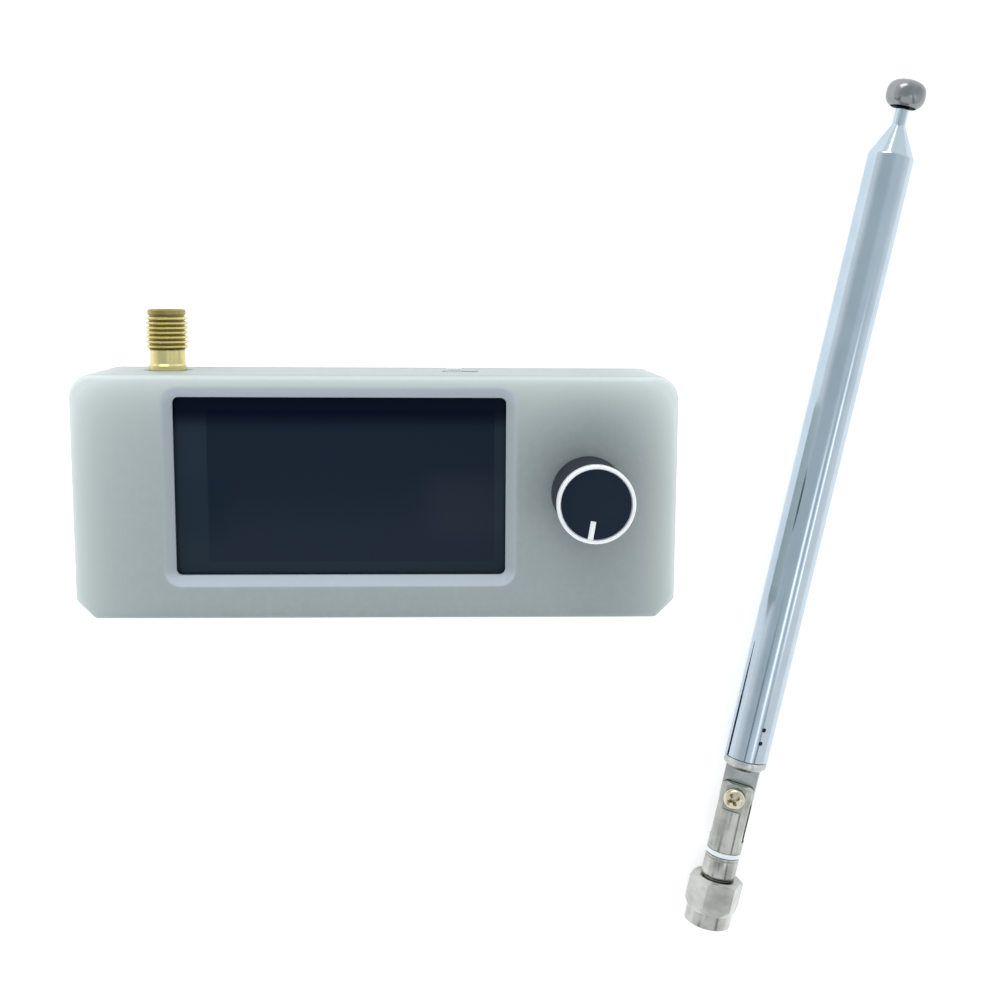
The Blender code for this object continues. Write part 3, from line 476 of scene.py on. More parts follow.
def painted_rim_light(depth):
    """1 at the edge of the case, and fading over a few millimetres from it: the mask of the painted
    light along the rim.
    """
    inward = depth.most(0.0)
    return (inward / (-2.3 * MM)).exponent() * 0.7 + (inward / (-8 * MM)).exponent() * 0.3


def glass_finish():
    """The switched-off display: a black printed border round a slightly lighter active area, with a
    painted reflection over both, darkest along the top and lighter towards the bottom.
    """
    paint = material_paint("display_glass_black")
    x, y, _ = paint.axes(paint.place(WINDOW_AT))
    left, right, half_h = -19.8 * MM, 22.9 * MM, 11.4 * MM
    soft = 0.15 * MM
    inside_x = band(x, left - soft, left + soft, right - soft, right + soft)
    inside = inside_x * (1 - abs(y).over(half_h - soft, half_h + soft))
    # Painted reflection: dark along the top, lighter towards the bottom.
    painted_reflection_fade = 1 - y.over(8.0 * MM, 11.3 * MM)
    low = (-y).over(-6 * MM, 14 * MM)
    ink_and_painted_reflection = paint.mix(painted_reflection_fade, (0.0005, 0.0035, 0.0145), (0.0165, 0.0285, 0.043))
    panel_and_painted_reflection = paint.mix(low, (0.0085, 0.016, 0.0305), (0.0135, 0.023, 0.038))
    panel_and_painted_reflection = paint.mix(painted_reflection_fade, (0.0, 0.0018, 0.0125), panel_and_painted_reflection)
    colour = paint.mix(inside, ink_and_painted_reflection, panel_and_painted_reflection)
    dust = paint.noise(5200.0, 2.0).over(0.72, 0.8)
    haze = paint.noise(120.0, 2.0)
    return paint.done(
        Base_Color=paint.mix(dust * 0.02, colour, (0.3, 0.32, 0.34)),
        Roughness=haze * 0.05 + 0.1,
        Specular_IOR_Level=0.07,
    )


def metal_finish(name, colour, shade, roughness, place, brushed=(1, 1, 1), wear=0.0, metallic=1.0):
    """A plated or machined metal. brushed stretches its fine lines in the place's own frame."""
    paint = material_paint(name)
    here = paint.local(place, brushed)
    lines = paint.noise(5200.0, 3.0, here)
    cloud = paint.noise(240.0, 3.0)
    tone = paint.mix(cloud.over(0.3, 0.75), colour, shade)
    if wear:
        scuff = paint.noise(900.0, 5.0, here, 0.7).over(0.6, 0.72)
        tone = paint.mix(scuff * wear, tone, tuple(c * 0.55 for c in shade))
        rough = lines * 0.1 + cloud * 0.08 + scuff * 0.25 + (roughness - 0.09)
    else:
        rough = lines * 0.06 + cloud * 0.05 + (roughness - 0.055)
    return paint.done(
        Base_Color=tone,
        Metallic=metallic,
        Roughness=rough,
        Normal=paint.bump(lines, 0.000002, 0.6),
    )


def jack_finish():
    """Gold flash, with painted shade in the roots of the thread and a painted dark reflection on
    the band at the mouth.
    """
    paint = material_paint("gold_flash_thread")
    x, y, z = paint.axes(paint.local(JACK))
    radius = (x * x + y * y) ** 0.5
    end = reach("jack_body", JACK)[1] * MM
    threaded = band(z, end - 6.3 * MM, end - 6.1 * MM, end - 0.95 * MM, end - 0.85 * MM)
    # Painted shade: the roots of the thread are painted darker.
    root = threaded * (1 - radius.over(2.66 * MM, 3.0 * MM))
    # Painted reflection: the band at the mouth is painted dark.
    mouth = z.over(end - 0.95 * MM, end - 0.8 * MM) * 0.85
    cloud = paint.noise(600.0, 3.0)
    tone = paint.mix(cloud, (0.76, 0.66, 0.33), (0.66, 0.57, 0.26))
    tone = paint.mix((root * 0.85 + mouth).least(1.0), tone, (0.27, 0.215, 0.07))
    lines = paint.noise(5200.0, 3.0)
    return paint.done(
        Base_Color=tone,
        Metallic=1.0,
        Roughness=cloud * 0.08 + 0.15,
        Normal=paint.bump(lines, 0.000002, 0.6),
    )


def crimp_marks():
    """The centres of the two punched marks near the lower end of the outer tube."""
    low, _, radius = reach("mast_tube_1", ELBOW)
    marks = []
    for height, bearing in ((3.5, 35.0), (5.8, 36.0)):
        angle = math.radians(90 + bearing)
        spot = Vector((radius * math.cos(angle), radius * math.sin(angle), low + height))
        marks.append(ELBOW @ (spot * MM))
    return marks


def chrome_finish():
    """Bright drawn chrome with faint draw lines along the mast, and painted shade in the two crimp
    marks.
    """
    paint = material_paint("drawn_chrome")
    here = paint.local(ELBOW, (1, 1, 0.02))
    lines = paint.noise(3800.0, 3.0, here)
    smudge = paint.noise(150.0, 4.0)
    tone = paint.mix(smudge.over(0.35, 0.75), (0.5, 0.58, 0.655), (0.455, 0.535, 0.61))
    # Painted shade: the crimp marks' hollows are painted nearly black.
    for mark in crimp_marks():
        from_x, from_y, from_z = paint.axes(paint.place(mark))
        away = (from_x * from_x + from_y * from_y + from_z * from_z) ** 0.5
        tone = paint.mix(1 - away.over(0.3 * MM, 0.42 * MM), tone, (0.03, 0.035, 0.045))
    return paint.done(
        Base_Color=tone,
        Metallic=1.0,
        Roughness=lines * 0.05 + smudge * 0.06 + 0.07,
        Normal=paint.bump(lines, 0.0000015, 0.5),
    )


def face_finish():
    """The knob's dark face, turned on a lathe: fine rings about its centre."""
    paint = material_paint("knob_face_black")
    x, y, _ = paint.axes(paint.local(KNOB))
    radius = (x * x + y * y) ** 0.5
    values = {"W": radius, "Scale": 9000.0, "Detail": 3.0}
    rings = paint.node("TexNoise", {"noise_dimensions": "1D"}, values)
    cloud = paint.noise(500.0, 3.0)
    return paint.done(
        Base_Color=paint.mix(cloud, (0.004, 0.0115, 0.0265), (0.0065, 0.0155, 0.0325)),
        Metallic=0.2,
        Roughness=rings * 0.12 + 0.34,
        Specular_IOR_Level=0.2,
        Normal=paint.bump(rings, 0.000004, 0.7),
    )


def grip_finish():
    """The knob's blasted and black anodised side, a little paler where fingers rub it."""
    paint = material_paint("knob_side_black")
    height = paint.axes(paint.local(KNOB))[2]
    grain = paint.noise(7000.0, 3.0)
    rub = height.over(KNOB_LOW.z, KNOB_HIGH.z) * 0.5 + 0.5
    rub = paint.noise(350.0, 4.0).over(0.45, 0.75) * rub
    return paint.done(
        Base_Color=paint.mix(rub, (0.0055, 0.0095, 0.0175), (0.011, 0.017, 0.029)),
        Metallic=0.15,
        Roughness=grain * 0.15 + 0.42,
        Specular_IOR_Level=0.28,
        Normal=paint.bump(grain, 0.000008, 0.6),
    )


def plastic_finish(name, colour, roughness=0.45, grain_depth=0.000008):
    paint = material_paint(name)
    cloud = paint.noise(420.0, 3.0)
    grain = paint.noise(5500.0, 3.0)
    paler = tuple(min(1.0, c * 1.15 + 0.0015) for c in colour)
    return paint.done(
        Base_Color=paint.mix(cloud, colour, paler),
        Roughness=grain * 0.14 + (roughness - 0.07),
        Normal=paint.bump(grain, grain_depth, 0.6),
    )


def board_finish():
    """Green solder mask with copper tracks showing through it as paler lines."""
    paint = material_paint("solder_mask")
    values = {"Vector": paint.place(scale=(1, 1, 0)), "Scale": 420.0, "Randomness": 0.35}
    cells = paint.node("TexVoronoi", {"feature": "DISTANCE_TO_EDGE"}, values)
    tracks = 1 - cells.over(0.05, 0.09)
    cloud = paint.noise(300.0, 2.0)
    mask = paint.mix(cloud, (0.008, 0.085, 0.035), (0.012, 0.11, 0.05))
    return paint.done(
        Base_Color=paint.mix(tracks * 0.55, mask, (0.03, 0.2, 0.09)),
        Roughness=cloud * 0.1 + 0.22,
        Normal=paint.bump(tracks, 0.00003, 0.8),
    )


def foil_finish():
    paint = material_paint("cell_pouch")
    # The creases' hollows are painted darker and their ridges paler: painted shade.
    creases = paint.noise(380.0, 6.0, roughness=0.65)
    return paint.done(
        Base_Color=paint.mix(creases, (0.42, 0.44, 0.47), (0.6, 0.62, 0.65)),
        Metallic=0.7,
        Roughness=creases * 0.2 + 0.25,
        Normal=paint.bump(creases, 0.00012, 0.7),
    )


RESIN = resin_finish()
DISPLAY = glass_finish()
CHROME = chrome_finish()
KNOB_FACE = face_finish()
KNOB_SIDE = grip_finish()
BRIGHT_RIM = metal_finish(
    "knob_bright_rim", (0.95, 0.96, 0.97), (0.9, 0.92, 0.94), 0.34, KNOB, metallic=0.35
)
JACK_GOLD = jack_finish()
GOLD = metal_finish("gold_flash", (0.8, 0.69, 0.34), (0.7, 0.6, 0.27), 0.2, JACK)
NICKEL = metal_finish(
    "nickel_turned", (0.54, 0.54, 0.51), (0.32, 0.32, 0.3), 0.17, ANTENNA, (0.2, 0.2, 2), 0.3
)
NICKEL_MILLED = metal_finish(
    "nickel_milled", (0.58, 0.6, 0.59), (0.38, 0.395, 0.39), 0.27, ELBOW, (2.0, 1, 0.12), 0.6
)
SCREW_NICKEL = metal_finish(
    "screw_plating", (0.74, 0.69, 0.52), (0.6, 0.55, 0.4), 0.24, HINGE, wear=0.5
)
STEEL = metal_finish(
    "screw_steel", (0.42, 0.42, 0.42), (0.33, 0.33, 0.34), 0.32, KNOB, wear=0.4
)
TIP_PLATING = metal_finish(
    "tip_plating", (0.3, 0.31, 0.32), (0.19, 0.2, 0.205), 0.2, ELBOW, wear=0.3
)
TIN = metal_finish(
    "tin_plate", (0.66, 0.67, 0.68), (0.56, 0.57, 0.59), 0.3, KNOB, (1, 0.1, 1), 0.2
)
DARK = plastic_finish("moulded_black", (0.018, 0.018, 0.02))
WHITE = plastic_finish("moulded_white", (0.72, 0.73, 0.72), 0.4)
WASHER = plastic_finish("nylon_washer", (0.78, 0.85, 0.88), 0.35)
PTFE = plastic_finish("ptfe_core", (0.86, 0.86, 0.83), 0.5)
RED = plastic_finish("red_insulation", (0.5, 0.02, 0.015), 0.4)
BLACK = plastic_finish("black_insulation", (0.015, 0.015, 0.015), 0.4)
FOAM = plastic_finish("foam_pad", (0.03, 0.03, 0.032), 0.85, 0.00006)
SILICONE = plastic_finish("silicone_ring", (0.5, 0.08, 0.05), 0.5)
BOARD = board_finish()
FOIL = foil_finish()


# ---------------- case


def case_outline(inset=0.0, steps=14):
    """Round upper corners and chamfered lower ones, whose own corners are a little softened."""
    right, top = CASE_HIGH.x - inset, CASE_HIGH.y - inset
    radius = TOP_CORNER - inset
    chamfer = BOTTOM_CHAMFER - inset * (2 - math.sqrt(2))
    points = []
    for quarter, side in enumerate((1, -1)):
        for i in range(steps + 1):
            angle = math.pi / 2 * (quarter + i / steps)
            x = side * (right - radius) + radius * math.cos(angle)
            points.append((x, top - radius + radius * math.sin(angle)))
    corners = [(-right, chamfer - top), (chamfer - right, -top)]
    corners += [(right - chamfer, -top), (right, chamfer - top)]
    route = [points[-1]] + corners + [points[0]]
    lower = eased([(x / MM, y / MM) for x, y in route], CHAMFER_SOFTENING / MM * 2, 4)
    return points + [(x * MM, y * MM) for x, y in lower[1:-1]]


def rounded_rectangle(width, height, radius, centre, steps=6):
    points = []
    for quarter, (sx, sy) in enumerate(((1, 1), (-1, 1), (-1, -1), (1, -1))):
        for i in range(steps + 1):
            angle = math.pi / 2 * (quarter + i / steps)
            x = centre[0] + sx * (width / 2 - radius) + radius * math.cos(angle)
            points.append((x, centre[1] + sy * (height / 2 - radius) + radius * math.sin(angle)))
    return points


def window_cutter():
    """The opening over the display, its slope, and a small round where the slope meets the face."""
    lip = 0.25 * MM
    levels = [(0.0, INNER_FRONT - MM), (0.0, CASE_HIGH.z - WINDOW_SLOPE)]
    for out, up in ((-1, -1), (-0.6, -0.7), (0.1, -0.35), (0.9, -0.08), (2, 0.01), (2, 4)):
        levels.append((WINDOW_SLOPE + out * lip, CASE_HIGH.z + up * lip))
    bm = bmesh.new()
    loops = []
    for grow, z in levels:
        outline = rounded_rectangle(
            WINDOW_W + 2 * grow, WINDOW_H + 2 * grow, WINDOW_CORNER + grow, WINDOW_AT
        )
        verts = [bm.verts.new((x, y, z)) for x, y in outline]
        loops.append([bm.edges.new((v, verts[i - 1])) for i, v in enumerate(verts)])
    for lower, upper in zip(loops, loops[1:]):
        bmesh.ops.bridge_loops(bm, edges=lower + upper)
    bmesh.ops.holes_fill(bm, edges=loops[0] + loops[-1], sides=0)
    return face_out(bm)


def screw_places(stem):
    """The screws' centres, read from their CAD nodes."""
    return [tuple(middle(f"{stem}_{i}")[0].xy) for i in range(1, 5)]


def make_front():
    """The front shell with its screw posts, and openings for all that passes through it."""
    skin = prism(case_outline(), CASE_LOW.z, CASE_HIGH.z)
    round_edges(skin, rim_edges(skin, CASE_HIGH.z), FRONT_ROUND, 12)
    shell = combined(skin, prism(case_outline(WALL), 0, INNER_FRONT))
    sunk = (INNER_FRONT + 0.5 * MM) / MM
    board_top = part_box("radio_board")[1].z
    columns = [pillar(2.6, CASE_LOW.z / MM, sunk, p) for p in screw_places("cover_screw")]
    columns += [pillar(2.1, board_top / MM + 0.3, sunk, p) for p in screw_places("board_screw")]
    shell = combined(shell, together(columns), "UNION")
    pilots = [pillar(0.95, 0, 13, p) for p in screw_places("cover_screw")]
    pilots += [pillar(0.95, 0, 14, p) for p in screw_places("board_screw")]
    shell = combined(shell, together(pilots))
    shell = combined(shell, window_cutter())
    inside, face, radius = INNER_FRONT / MM - 1, CASE_HIGH.z / MM, 3.8
    bush = [(0, inside), (radius, inside), (radius, face - 0.3), (radius + 0.3, face)]
    bush += [(radius + 0.3, face + 1), (0, face + 1)]
    shell = combined(shell, moved(turned(eased(bush, 0.1)), KNOB))
    radius = 3.475
    jack = [(0, -4), (radius, -4), (radius, -0.25), (radius + 0.25, 0), (radius + 0.25, 4), (0, 4)]
    shell = combined(shell, moved(turned(jack), JACK))
    slider, slider_size = middle("switch_slider")
    slot = rounded_rectangle(slider_size.x + 3.2 * MM, 2.6 * MM, 0.5 * MM, (0, 0))
    slot = prism(slot, -2.5 * MM, 2.5 * MM)
    slot_at = (slider.x + joint("power_switch")["range_m"][1] / 2, CASE_HIGH.y, slider.z)
    shell = combined(shell, moved(slot, upright(slot_at, (0, 1, 0))))
    socket, _ = middle("usb_receptacle")
    port = prism(rounded_rectangle(9.8 * MM, 4.0 * MM, 1.9 * MM, (0, 0), 10), -4 * MM, 3 * MM)
    port_at = upright((CASE_LOW.x, socket.y, socket.z), (-1, 0, 0))
    shell = combined(shell, moved(port, port_at))
    piece("case_front", shell, RESIN, "case", ("front_shell",), sharp=28)


def make_back():
    """The rear cover: its plate, two locating ribs and four countersunk holes."""
    plate_top = CASE_LOW.z - 0.3 * MM
    skin = prism(case_outline(), COVER_LOW.z, plate_top)
    round_edges(skin, rim_edges(skin, COVER_LOW.z), BACK_ROUND, 6)
    above = plate_top / MM + 2
    rib_y = CASE_HIGH.y - WALL - 0.9 * MM
    rib_h = COVER_HIGH.z - 1.4 * MM
    ribs = [
        block((66 * MM, 1.2 * MM, rib_h), (0, side * rib_y, COVER_HIGH.z - rib_h / 2), 0.2 * MM)
        for side in (-1, 1)
    ]
    cover = combined(skin, together(ribs), "UNION")
    sinks = []
    for at in screw_places("cover_screw"):
        profile = [(0, -1), (2.55, -1), (2.55, 0.0), (2.35, 0.08)]
        sink = turned(profile + [(1.3, 1.3), (1.3, above), (0, above)], FINE)
        sinks.append(shifted(sink, (*at, 0)))
    cover = combined(cover, together(sinks))
    piece("case_back", cover, RESIN, "case", ("rear_cover",), sharp=28)


def cross_cutter(width, depth, top, taper=0.62):
    """A cross recess that narrows as it goes down."""
    slot = width * 0.26
    arms = []
    for size in ((width, slot), (slot, width)):
        arm = block((size[0] * MM, size[1] * MM, 2 * depth * MM))
        for v in arm.verts:
            if v.co.z < 0:
                v.co.x *= taper
                v.co.y *= taper
        arms.append(shifted(arm, (0, 0, top * MM)))
    return arms


def make_cover_screws():
    for i, at in enumerate(screw_places("cover_screw"), 1):
        low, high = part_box(f"cover_screw_{i}")
        length = (high.z - low.z) / MM
        profile = [(0, 0), (1.6, 0), (1.75, 0.08), (0.85, 1.0)]
        pitch = 0.45
        for k in range(int((length - 1.6) / pitch)):
            z = 1.1 + k * pitch
            profile += [(0.62, z), (0.8, z + pitch / 2)]
        profile += [(0.5, length - 0.2), (0.2, length), (0, length)]
        screw = turned(profile, FINE)
        for arm in cross_cutter(1.9, 0.75, 0):
            # The head faces down, so the recess narrows upwards.
            bmesh.ops.scale(arm, verts=arm.verts[:], vec=(1, 1, -1))
            screw = combined(screw, face_out(arm))
        place = Matrix.Translation((*at, low.z)) @ Matrix.Rotation(0.5 + 0.9 * i, 4, "Z")
        piece(
            f"cover_screw_fine_{i}", screw, STEEL, "case",
            (f"cover_screw_{i}",), place, sharp=30,
        )


def make_display():
    glass = block(tuple(GLASS_SIZE), tuple(WINDOW_AT), 0.12 * MM)
    piece("display_window", glass, DISPLAY, "case", ("display_glass",))


# ---------------- knob


def make_knob():
    """The grip with its bore, the bright ring, the sunk face and the pointer line across it."""
    skirt, _, radius = reach("knob_body", KNOB)
    low, high, crown = reach("knob_cap", KNOB)
    under, shaft_top = low - 0.12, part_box("encoder_shaft")[1].z / MM + 0.3
    bore, wall_in = 3.3, radius - 0.8
    grip = [(bore, skirt + 1.6), (wall_in, skirt + 1.6), (wall_in, skirt), (radius, skirt)]
    grip = eased(grip + [(radius, under)], 0.25)
    grip += [(0, under), (0, shaft_top), (bore, shaft_top)]
    piece(
        "knob_grip", turned(grip, ROUND, ring=True), KNOB_SIDE, "knob",
        ("knob_body",), KNOB, sharp=40,
    )
    inner = crown - 0.52
    rim = [(inner - 0.25, low + 0.02), (crown - 0.12, low + 0.02), (crown, low + 0.14)]
    rim += [(crown, high - 0.22), (crown - 0.16, high), (inner + 0.06, high)]
    rim += [(inner, high - 0.08), (inner, high - 0.5), (inner - 0.25, high - 0.5)]
    piece(
        "knob_bright_ring", turned(eased(rim, 0.06, ring=True), ROUND, ring=True), BRIGHT_RIM,
        "knob", ("knob_cap",), KNOB, sharp=40,
    )
    face_top = high - 0.32
    face = [(0, low + 0.05), (inner - 0.3, low + 0.05), (inner - 0.3, high - 0.52)]
    face += [(inner - 0.1, high - 0.46), (inner - 0.1, face_top - 0.05)]
    face += [(inner - 0.16, face_top), (0, face_top)]
    disc = turned(eased(face, 0.04))
    pointer = middle("knob_pointer")[0] - KNOB.translation
    along = Matrix.Rotation(math.atan2(pointer.y, pointer.x), 4, "Z")
    line_in, width = 2.4, 0.78
    length = inner - 0.02 - line_in
    groove = block(
        ((length + 1) * MM, (width + 0.12) * MM, MM),
        ((line_in + (length + 1) / 2 - 0.06) * MM, 0, (face_top + 0.5 - 0.2) * MM),
    )
    disc = combined(disc, moved(groove, along))
    piece("knob_dial_face", disc, KNOB_FACE, "knob", place=KNOB, sharp=30)
    line = block(
        (length * MM, width * MM, 0.22 * MM),
        ((line_in + length / 2) * MM, 0, (face_top - 0.02) * MM),
        0.05 * MM,
    )
    piece(
        "knob_pointer_line", moved(line, along), BRIGHT_RIM, "knob",
        ("knob_pointer",), KNOB,
    )


# ---------------- antenna jack, switch, port


def thread(outer, root, low, high):
    """The crests and roots of a screw thread, with small flats, from low to high."""
    flank = outer - 0.05
    crest = ((root, 0.04), (flank, 0.3), (outer, 0.37), (outer, 0.63), (flank, 0.7), (root, 0.96))
    turns = int(round((high - low) / PITCH))
    return [(r, low + (i + share) * PITCH) for i in range(turns) for r, share in crest]


def make_jack():
    """The threaded barrel and its square flange, the insulator and the slit centre contact."""
    low, end, _ = reach("jack_body", JACK)
    bore, mouth, root = 2.08, 2.3, 2.64
    body = [(bore, low), (2.85, low), (2.85, 0.7), (2.65, 1.0), (2.65, end - 6.1), (2.8, end - 6.0)]
    body += thread(3.175, root, end - 5.95, end - 0.95)
    body += [(root, end - 0.93), (2.86, end - 0.8), (2.86, end - 0.18), (2.7, end), (2.42, end)]
    body += [(mouth, end - 0.12), (mouth, end - 2.6), (bore, end - 2.6)]
    plate = block((JACK_SIZE.x, JACK_SIZE.x, 2.2 * MM), (0, 0, -3.4 * MM), 0.2 * MM)
    plate = combined(plate, pillar(2.5, -8, 4))
    barrel = combined(turned(body, ROUND, ring=True), plate, "UNION")
    piece(
        "jack_barrel", barrel, JACK_GOLD, "case",
        ("jack_body",), JACK, sharp=28,
    )
    sleeve("jack_insulator", "jack_ptfe", SOCKET_BORE, 0.08, PTFE, "case", JACK)
    low, high, radius = reach("jack_contact", JACK)
    contact = [(0, low), (radius, low + 0.1), (radius, high - 0.15), (radius - 0.1, high)]
    contact += [(0.42, high), (0.36, high - 0.1), (0.36, high - 2.8), (0, high - 2.9)]
    contact = turned(contact, FINE)
    for quarter in range(2):
        slit = block((4 * MM, 0.14 * MM, 4 * MM), (0, 0, high * MM))
        contact = combined(contact, moved(slit, Matrix.Rotation(quarter * math.pi / 2, 4, "Z")))
    piece(
        "jack_socket", contact, GOLD, "case",
        ("jack_contact",), JACK, sharp=30,
    )


def make_switch():
    """The slide switch's button with four grip grooves."""
    mid, size = middle("switch_slider")
    button = block(tuple(size), tuple(mid), 0.18 * MM)
    grooves = [
        block((0.18 * MM, 0.3 * MM, size.z * 1.5), (mid.x + k * MM, mid.y + size.y / 2, mid.z))
        for k in (-0.75, -0.25, 0.25, 0.75)
    ]
    button = combined(button, together(grooves))
    piece(
        "switch_button", button, WHITE, "power_slider",
        ("switch_slider",), sharp=30,
    )


def make_port():
    """The USB-C socket: its tin shell, its tongue and two rows of twelve contacts."""
    mid, size = middle("usb_receptacle")
    mouth = upright((mid.x - size.x / 2, mid.y, mid.z), (-1, 0, 0))
    shell = prism(rounded_rectangle(size.y, size.z, 1.55 * MM, (0, 0), 10), -size.x, 0)
    round_edges(shell, rim_edges(shell, 0), 0.08 * MM, 3)
    walls = 0.56 * MM
    hollow = rounded_rectangle(size.y - walls, size.z - walls, 1.28 * MM, (0, 0), 10)
    shell = combined(shell, prism(hollow, -6.2 * MM, MM))
    piece(
        "usb_shell", shell, TIN, "case", ("usb_receptacle",), mouth, sharp=30
    )
    mid, size = middle("usb_tongue")
    tongue = block(tuple(size), tuple(mid), 0.12 * MM, 2)
    piece("usb_tongue_fine", tongue, DARK, "case", ("usb_tongue",))
    pads = []
    for side in (-1, 1):
        for k in range(12):
            y = mid.y + (k - 5.5) * 0.5 * MM
            at = (mid.x - 0.1 * MM, y, mid.z + side * (size.z / 2 + 0.01 * MM))
            pads.append(block((size.x * 0.7, 0.25 * MM, 0.06 * MM), at, 0.01 * MM, 1))
    piece("usb_contacts", together(pads), GOLD, "case")


# ---------------- antenna plug and elbow


def hexagon(flats):
    corner = flats / math.sqrt(3)
    angles = [math.pi / 3 * i for i in range(6)]
    return [(corner * math.cos(angle), corner * math.sin(angle)) for angle in angles]


def make_nut():
    """A chamfered hexagon with a round rim before it, and an internal thread."""
    _, high, corner = reach("coupling_nut", ANTENNA)
    flats, rim_r, rim_length, past = 8.0, 3.9, 2.8, corner + 0.3
    hexed = prism(hexagon(flats * MM), (rim_length - 0.4) * MM, high * MM)
    envelope = [(0, rim_length - 1), (rim_r + 0.02, rim_length - 0.35), (past, rim_length + 1.55)]
    envelope += [(past, high - 0.75), (rim_r - 0.25, high + 0.02), (0, high + 0.02)]
    hexed = combined(hexed, turned(envelope), "INTERSECT")
    joined = rim_length + 0.5
    rim = [(0, 0), (rim_r - 0.2, 0), (rim_r, 0.2), (rim_r, joined), (0, joined)]
    nut = combined(hexed, turned(eased(rim, 0.12)), "UNION")
    thread_low, thread_high, root, crest = 0.9, 5.2, 3.3, 2.98
    turn = ((root, 0), (crest, 0.45), (crest, 0.55), (root, 1))
    inner = [(0, -1), (3.55, -1), (3.55, 0.0), (root, 0.3)]
    for k in range(int((thread_high - thread_low) / PITCH)):
        inner += [(r, thread_low + (k + share) * PITCH) for r, share in turn]
    inner += [(3.4, thread_high), (3.4, 7.3), (2.5, 7.3), (2.5, 12), (0, 12)]
    nut = combined(nut, turned(inner))
    piece(
        "nut_hexagon", nut, NICKEL, "nut", ("coupling_nut",), ANTENNA,
        edge=0.07 * MM, sharp=26,
    )


def make_plug():
    """The barrel with its flange and grooved collar, the insulator, the pin and the ring seal."""
    low, high, radius = reach("plug_body", ANTENNA)
    bore, tube, flange, groove = 1.95, 2.25, 2.85, radius - 0.14
    back, collar_low, floor = 1.6, 8.6, 9.6
    barrel = [(bore, low), (tube, low), (tube, low + 2.0), (flange, low + 2.0)]
    barrel += [(flange, low + 2.6), (tube, low + 2.6), (tube, collar_low), (radius, collar_low)]
    barrel += [(radius, high - 0.55), (groove, high - 0.5), (groove, high - 0.38)]
    barrel += [(radius, high - 0.33), (radius, high), (back, high), (back, floor), (bore, floor)]
    piece(
        "plug_barrel", turned(eased(barrel, 0.1, ring=True), ROUND, ring=True), NICKEL,
        "plug", ("plug_body",), ANTENNA, sharp=40,
    )
    sleeve("plug_insulator", "plug_ptfe", SOCKET_BORE, 0.06, PTFE, "plug", ANTENNA)
    low, high, radius = reach("plug_pin", ANTENNA)
    pin = [(0, low), (0.12, low + 0.03), (0.3, low + 0.2), (radius, low + 0.6)]
    pin = eased(pin + [(radius, high), (0, high)], 0.1)
    piece(
        "plug_centre_pin", turned(pin, FINE), GOLD, "plug",
        ("plug_pin",), ANTENNA, sharp=40,
    )
    sleeve(
        "plug_gasket", "plug_ring_seal", 2.55, 0.22, SILICONE, "plug", ANTENNA,
        ROUND, 4, 60,
    )


def make_knuckle():
    """The swivel washer, and the fork: a slot for the tongue, a hole and a flat for the screw."""
    sleeve(
        "swivel_washer", "nylon_swivel_washer", 1.9, 0.2, WASHER, "knuckle", ELBOW,
        ROUND, 4, 60,
    )
    low, high, radius = reach("knuckle_fork", ELBOW)
    shoulder, neck = reach("swivel_washer", ELBOW)[1] + 0.1, 1.3
    body = [(0, low), (neck, low), (neck, shoulder), (radius, shoulder)]
    body += [(radius, high - 0.5), (radius - 0.5, high), (0, high)]
    body = turned(eased(body, 0.12))
    body = combined(body, block((20 * MM, 2.3 * MM, 20 * MM), (0, 0, (shoulder + 12) * MM)))
    body = combined(body, across_hinge(1.1))
    seat = block((8 * MM, 4 * MM, 20 * MM), (0, (radius + 1.45) * MM, HINGE_AT + 7.8 * MM))
    body = combined(body, seat)
    piece(
        "knuckle_cheeks", body, NICKEL, "knuckle", ("knuckle_fork",), ELBOW,
        edge=0.08 * MM, sharp=30,
    )


def make_hinge_screw():
    """A domed screw with a shallow cross recess."""
    low, high, radius = reach("hinge_screw", HINGE)
    shank, head, dome = 0.8, high - 0.95, high - 0.65
    profile = [(0, low), (shank - 0.15, low), (shank, low + 0.2), (shank, head), (radius, head)]
    profile.append((radius, dome))
    for k in range(1, 6):
        angle = math.pi / 2 * k / 6
        profile.append((radius * math.cos(angle * 0.96), dome + 0.65 * math.sin(angle)))
    screw = turned(profile + [(0, high)], FINE)
    for arm in cross_cutter(3.5, 1.0, high, 0.3):
        screw = combined(screw, face_out(moved(arm, Matrix.Rotation(0.55, 4, "Z"))))
    piece(
        "hinge_cross_screw", screw, SCREW_NICKEL, "knuckle",
        ("hinge_screw",), HINGE, edge=0.04 * MM, sharp=35,
    )


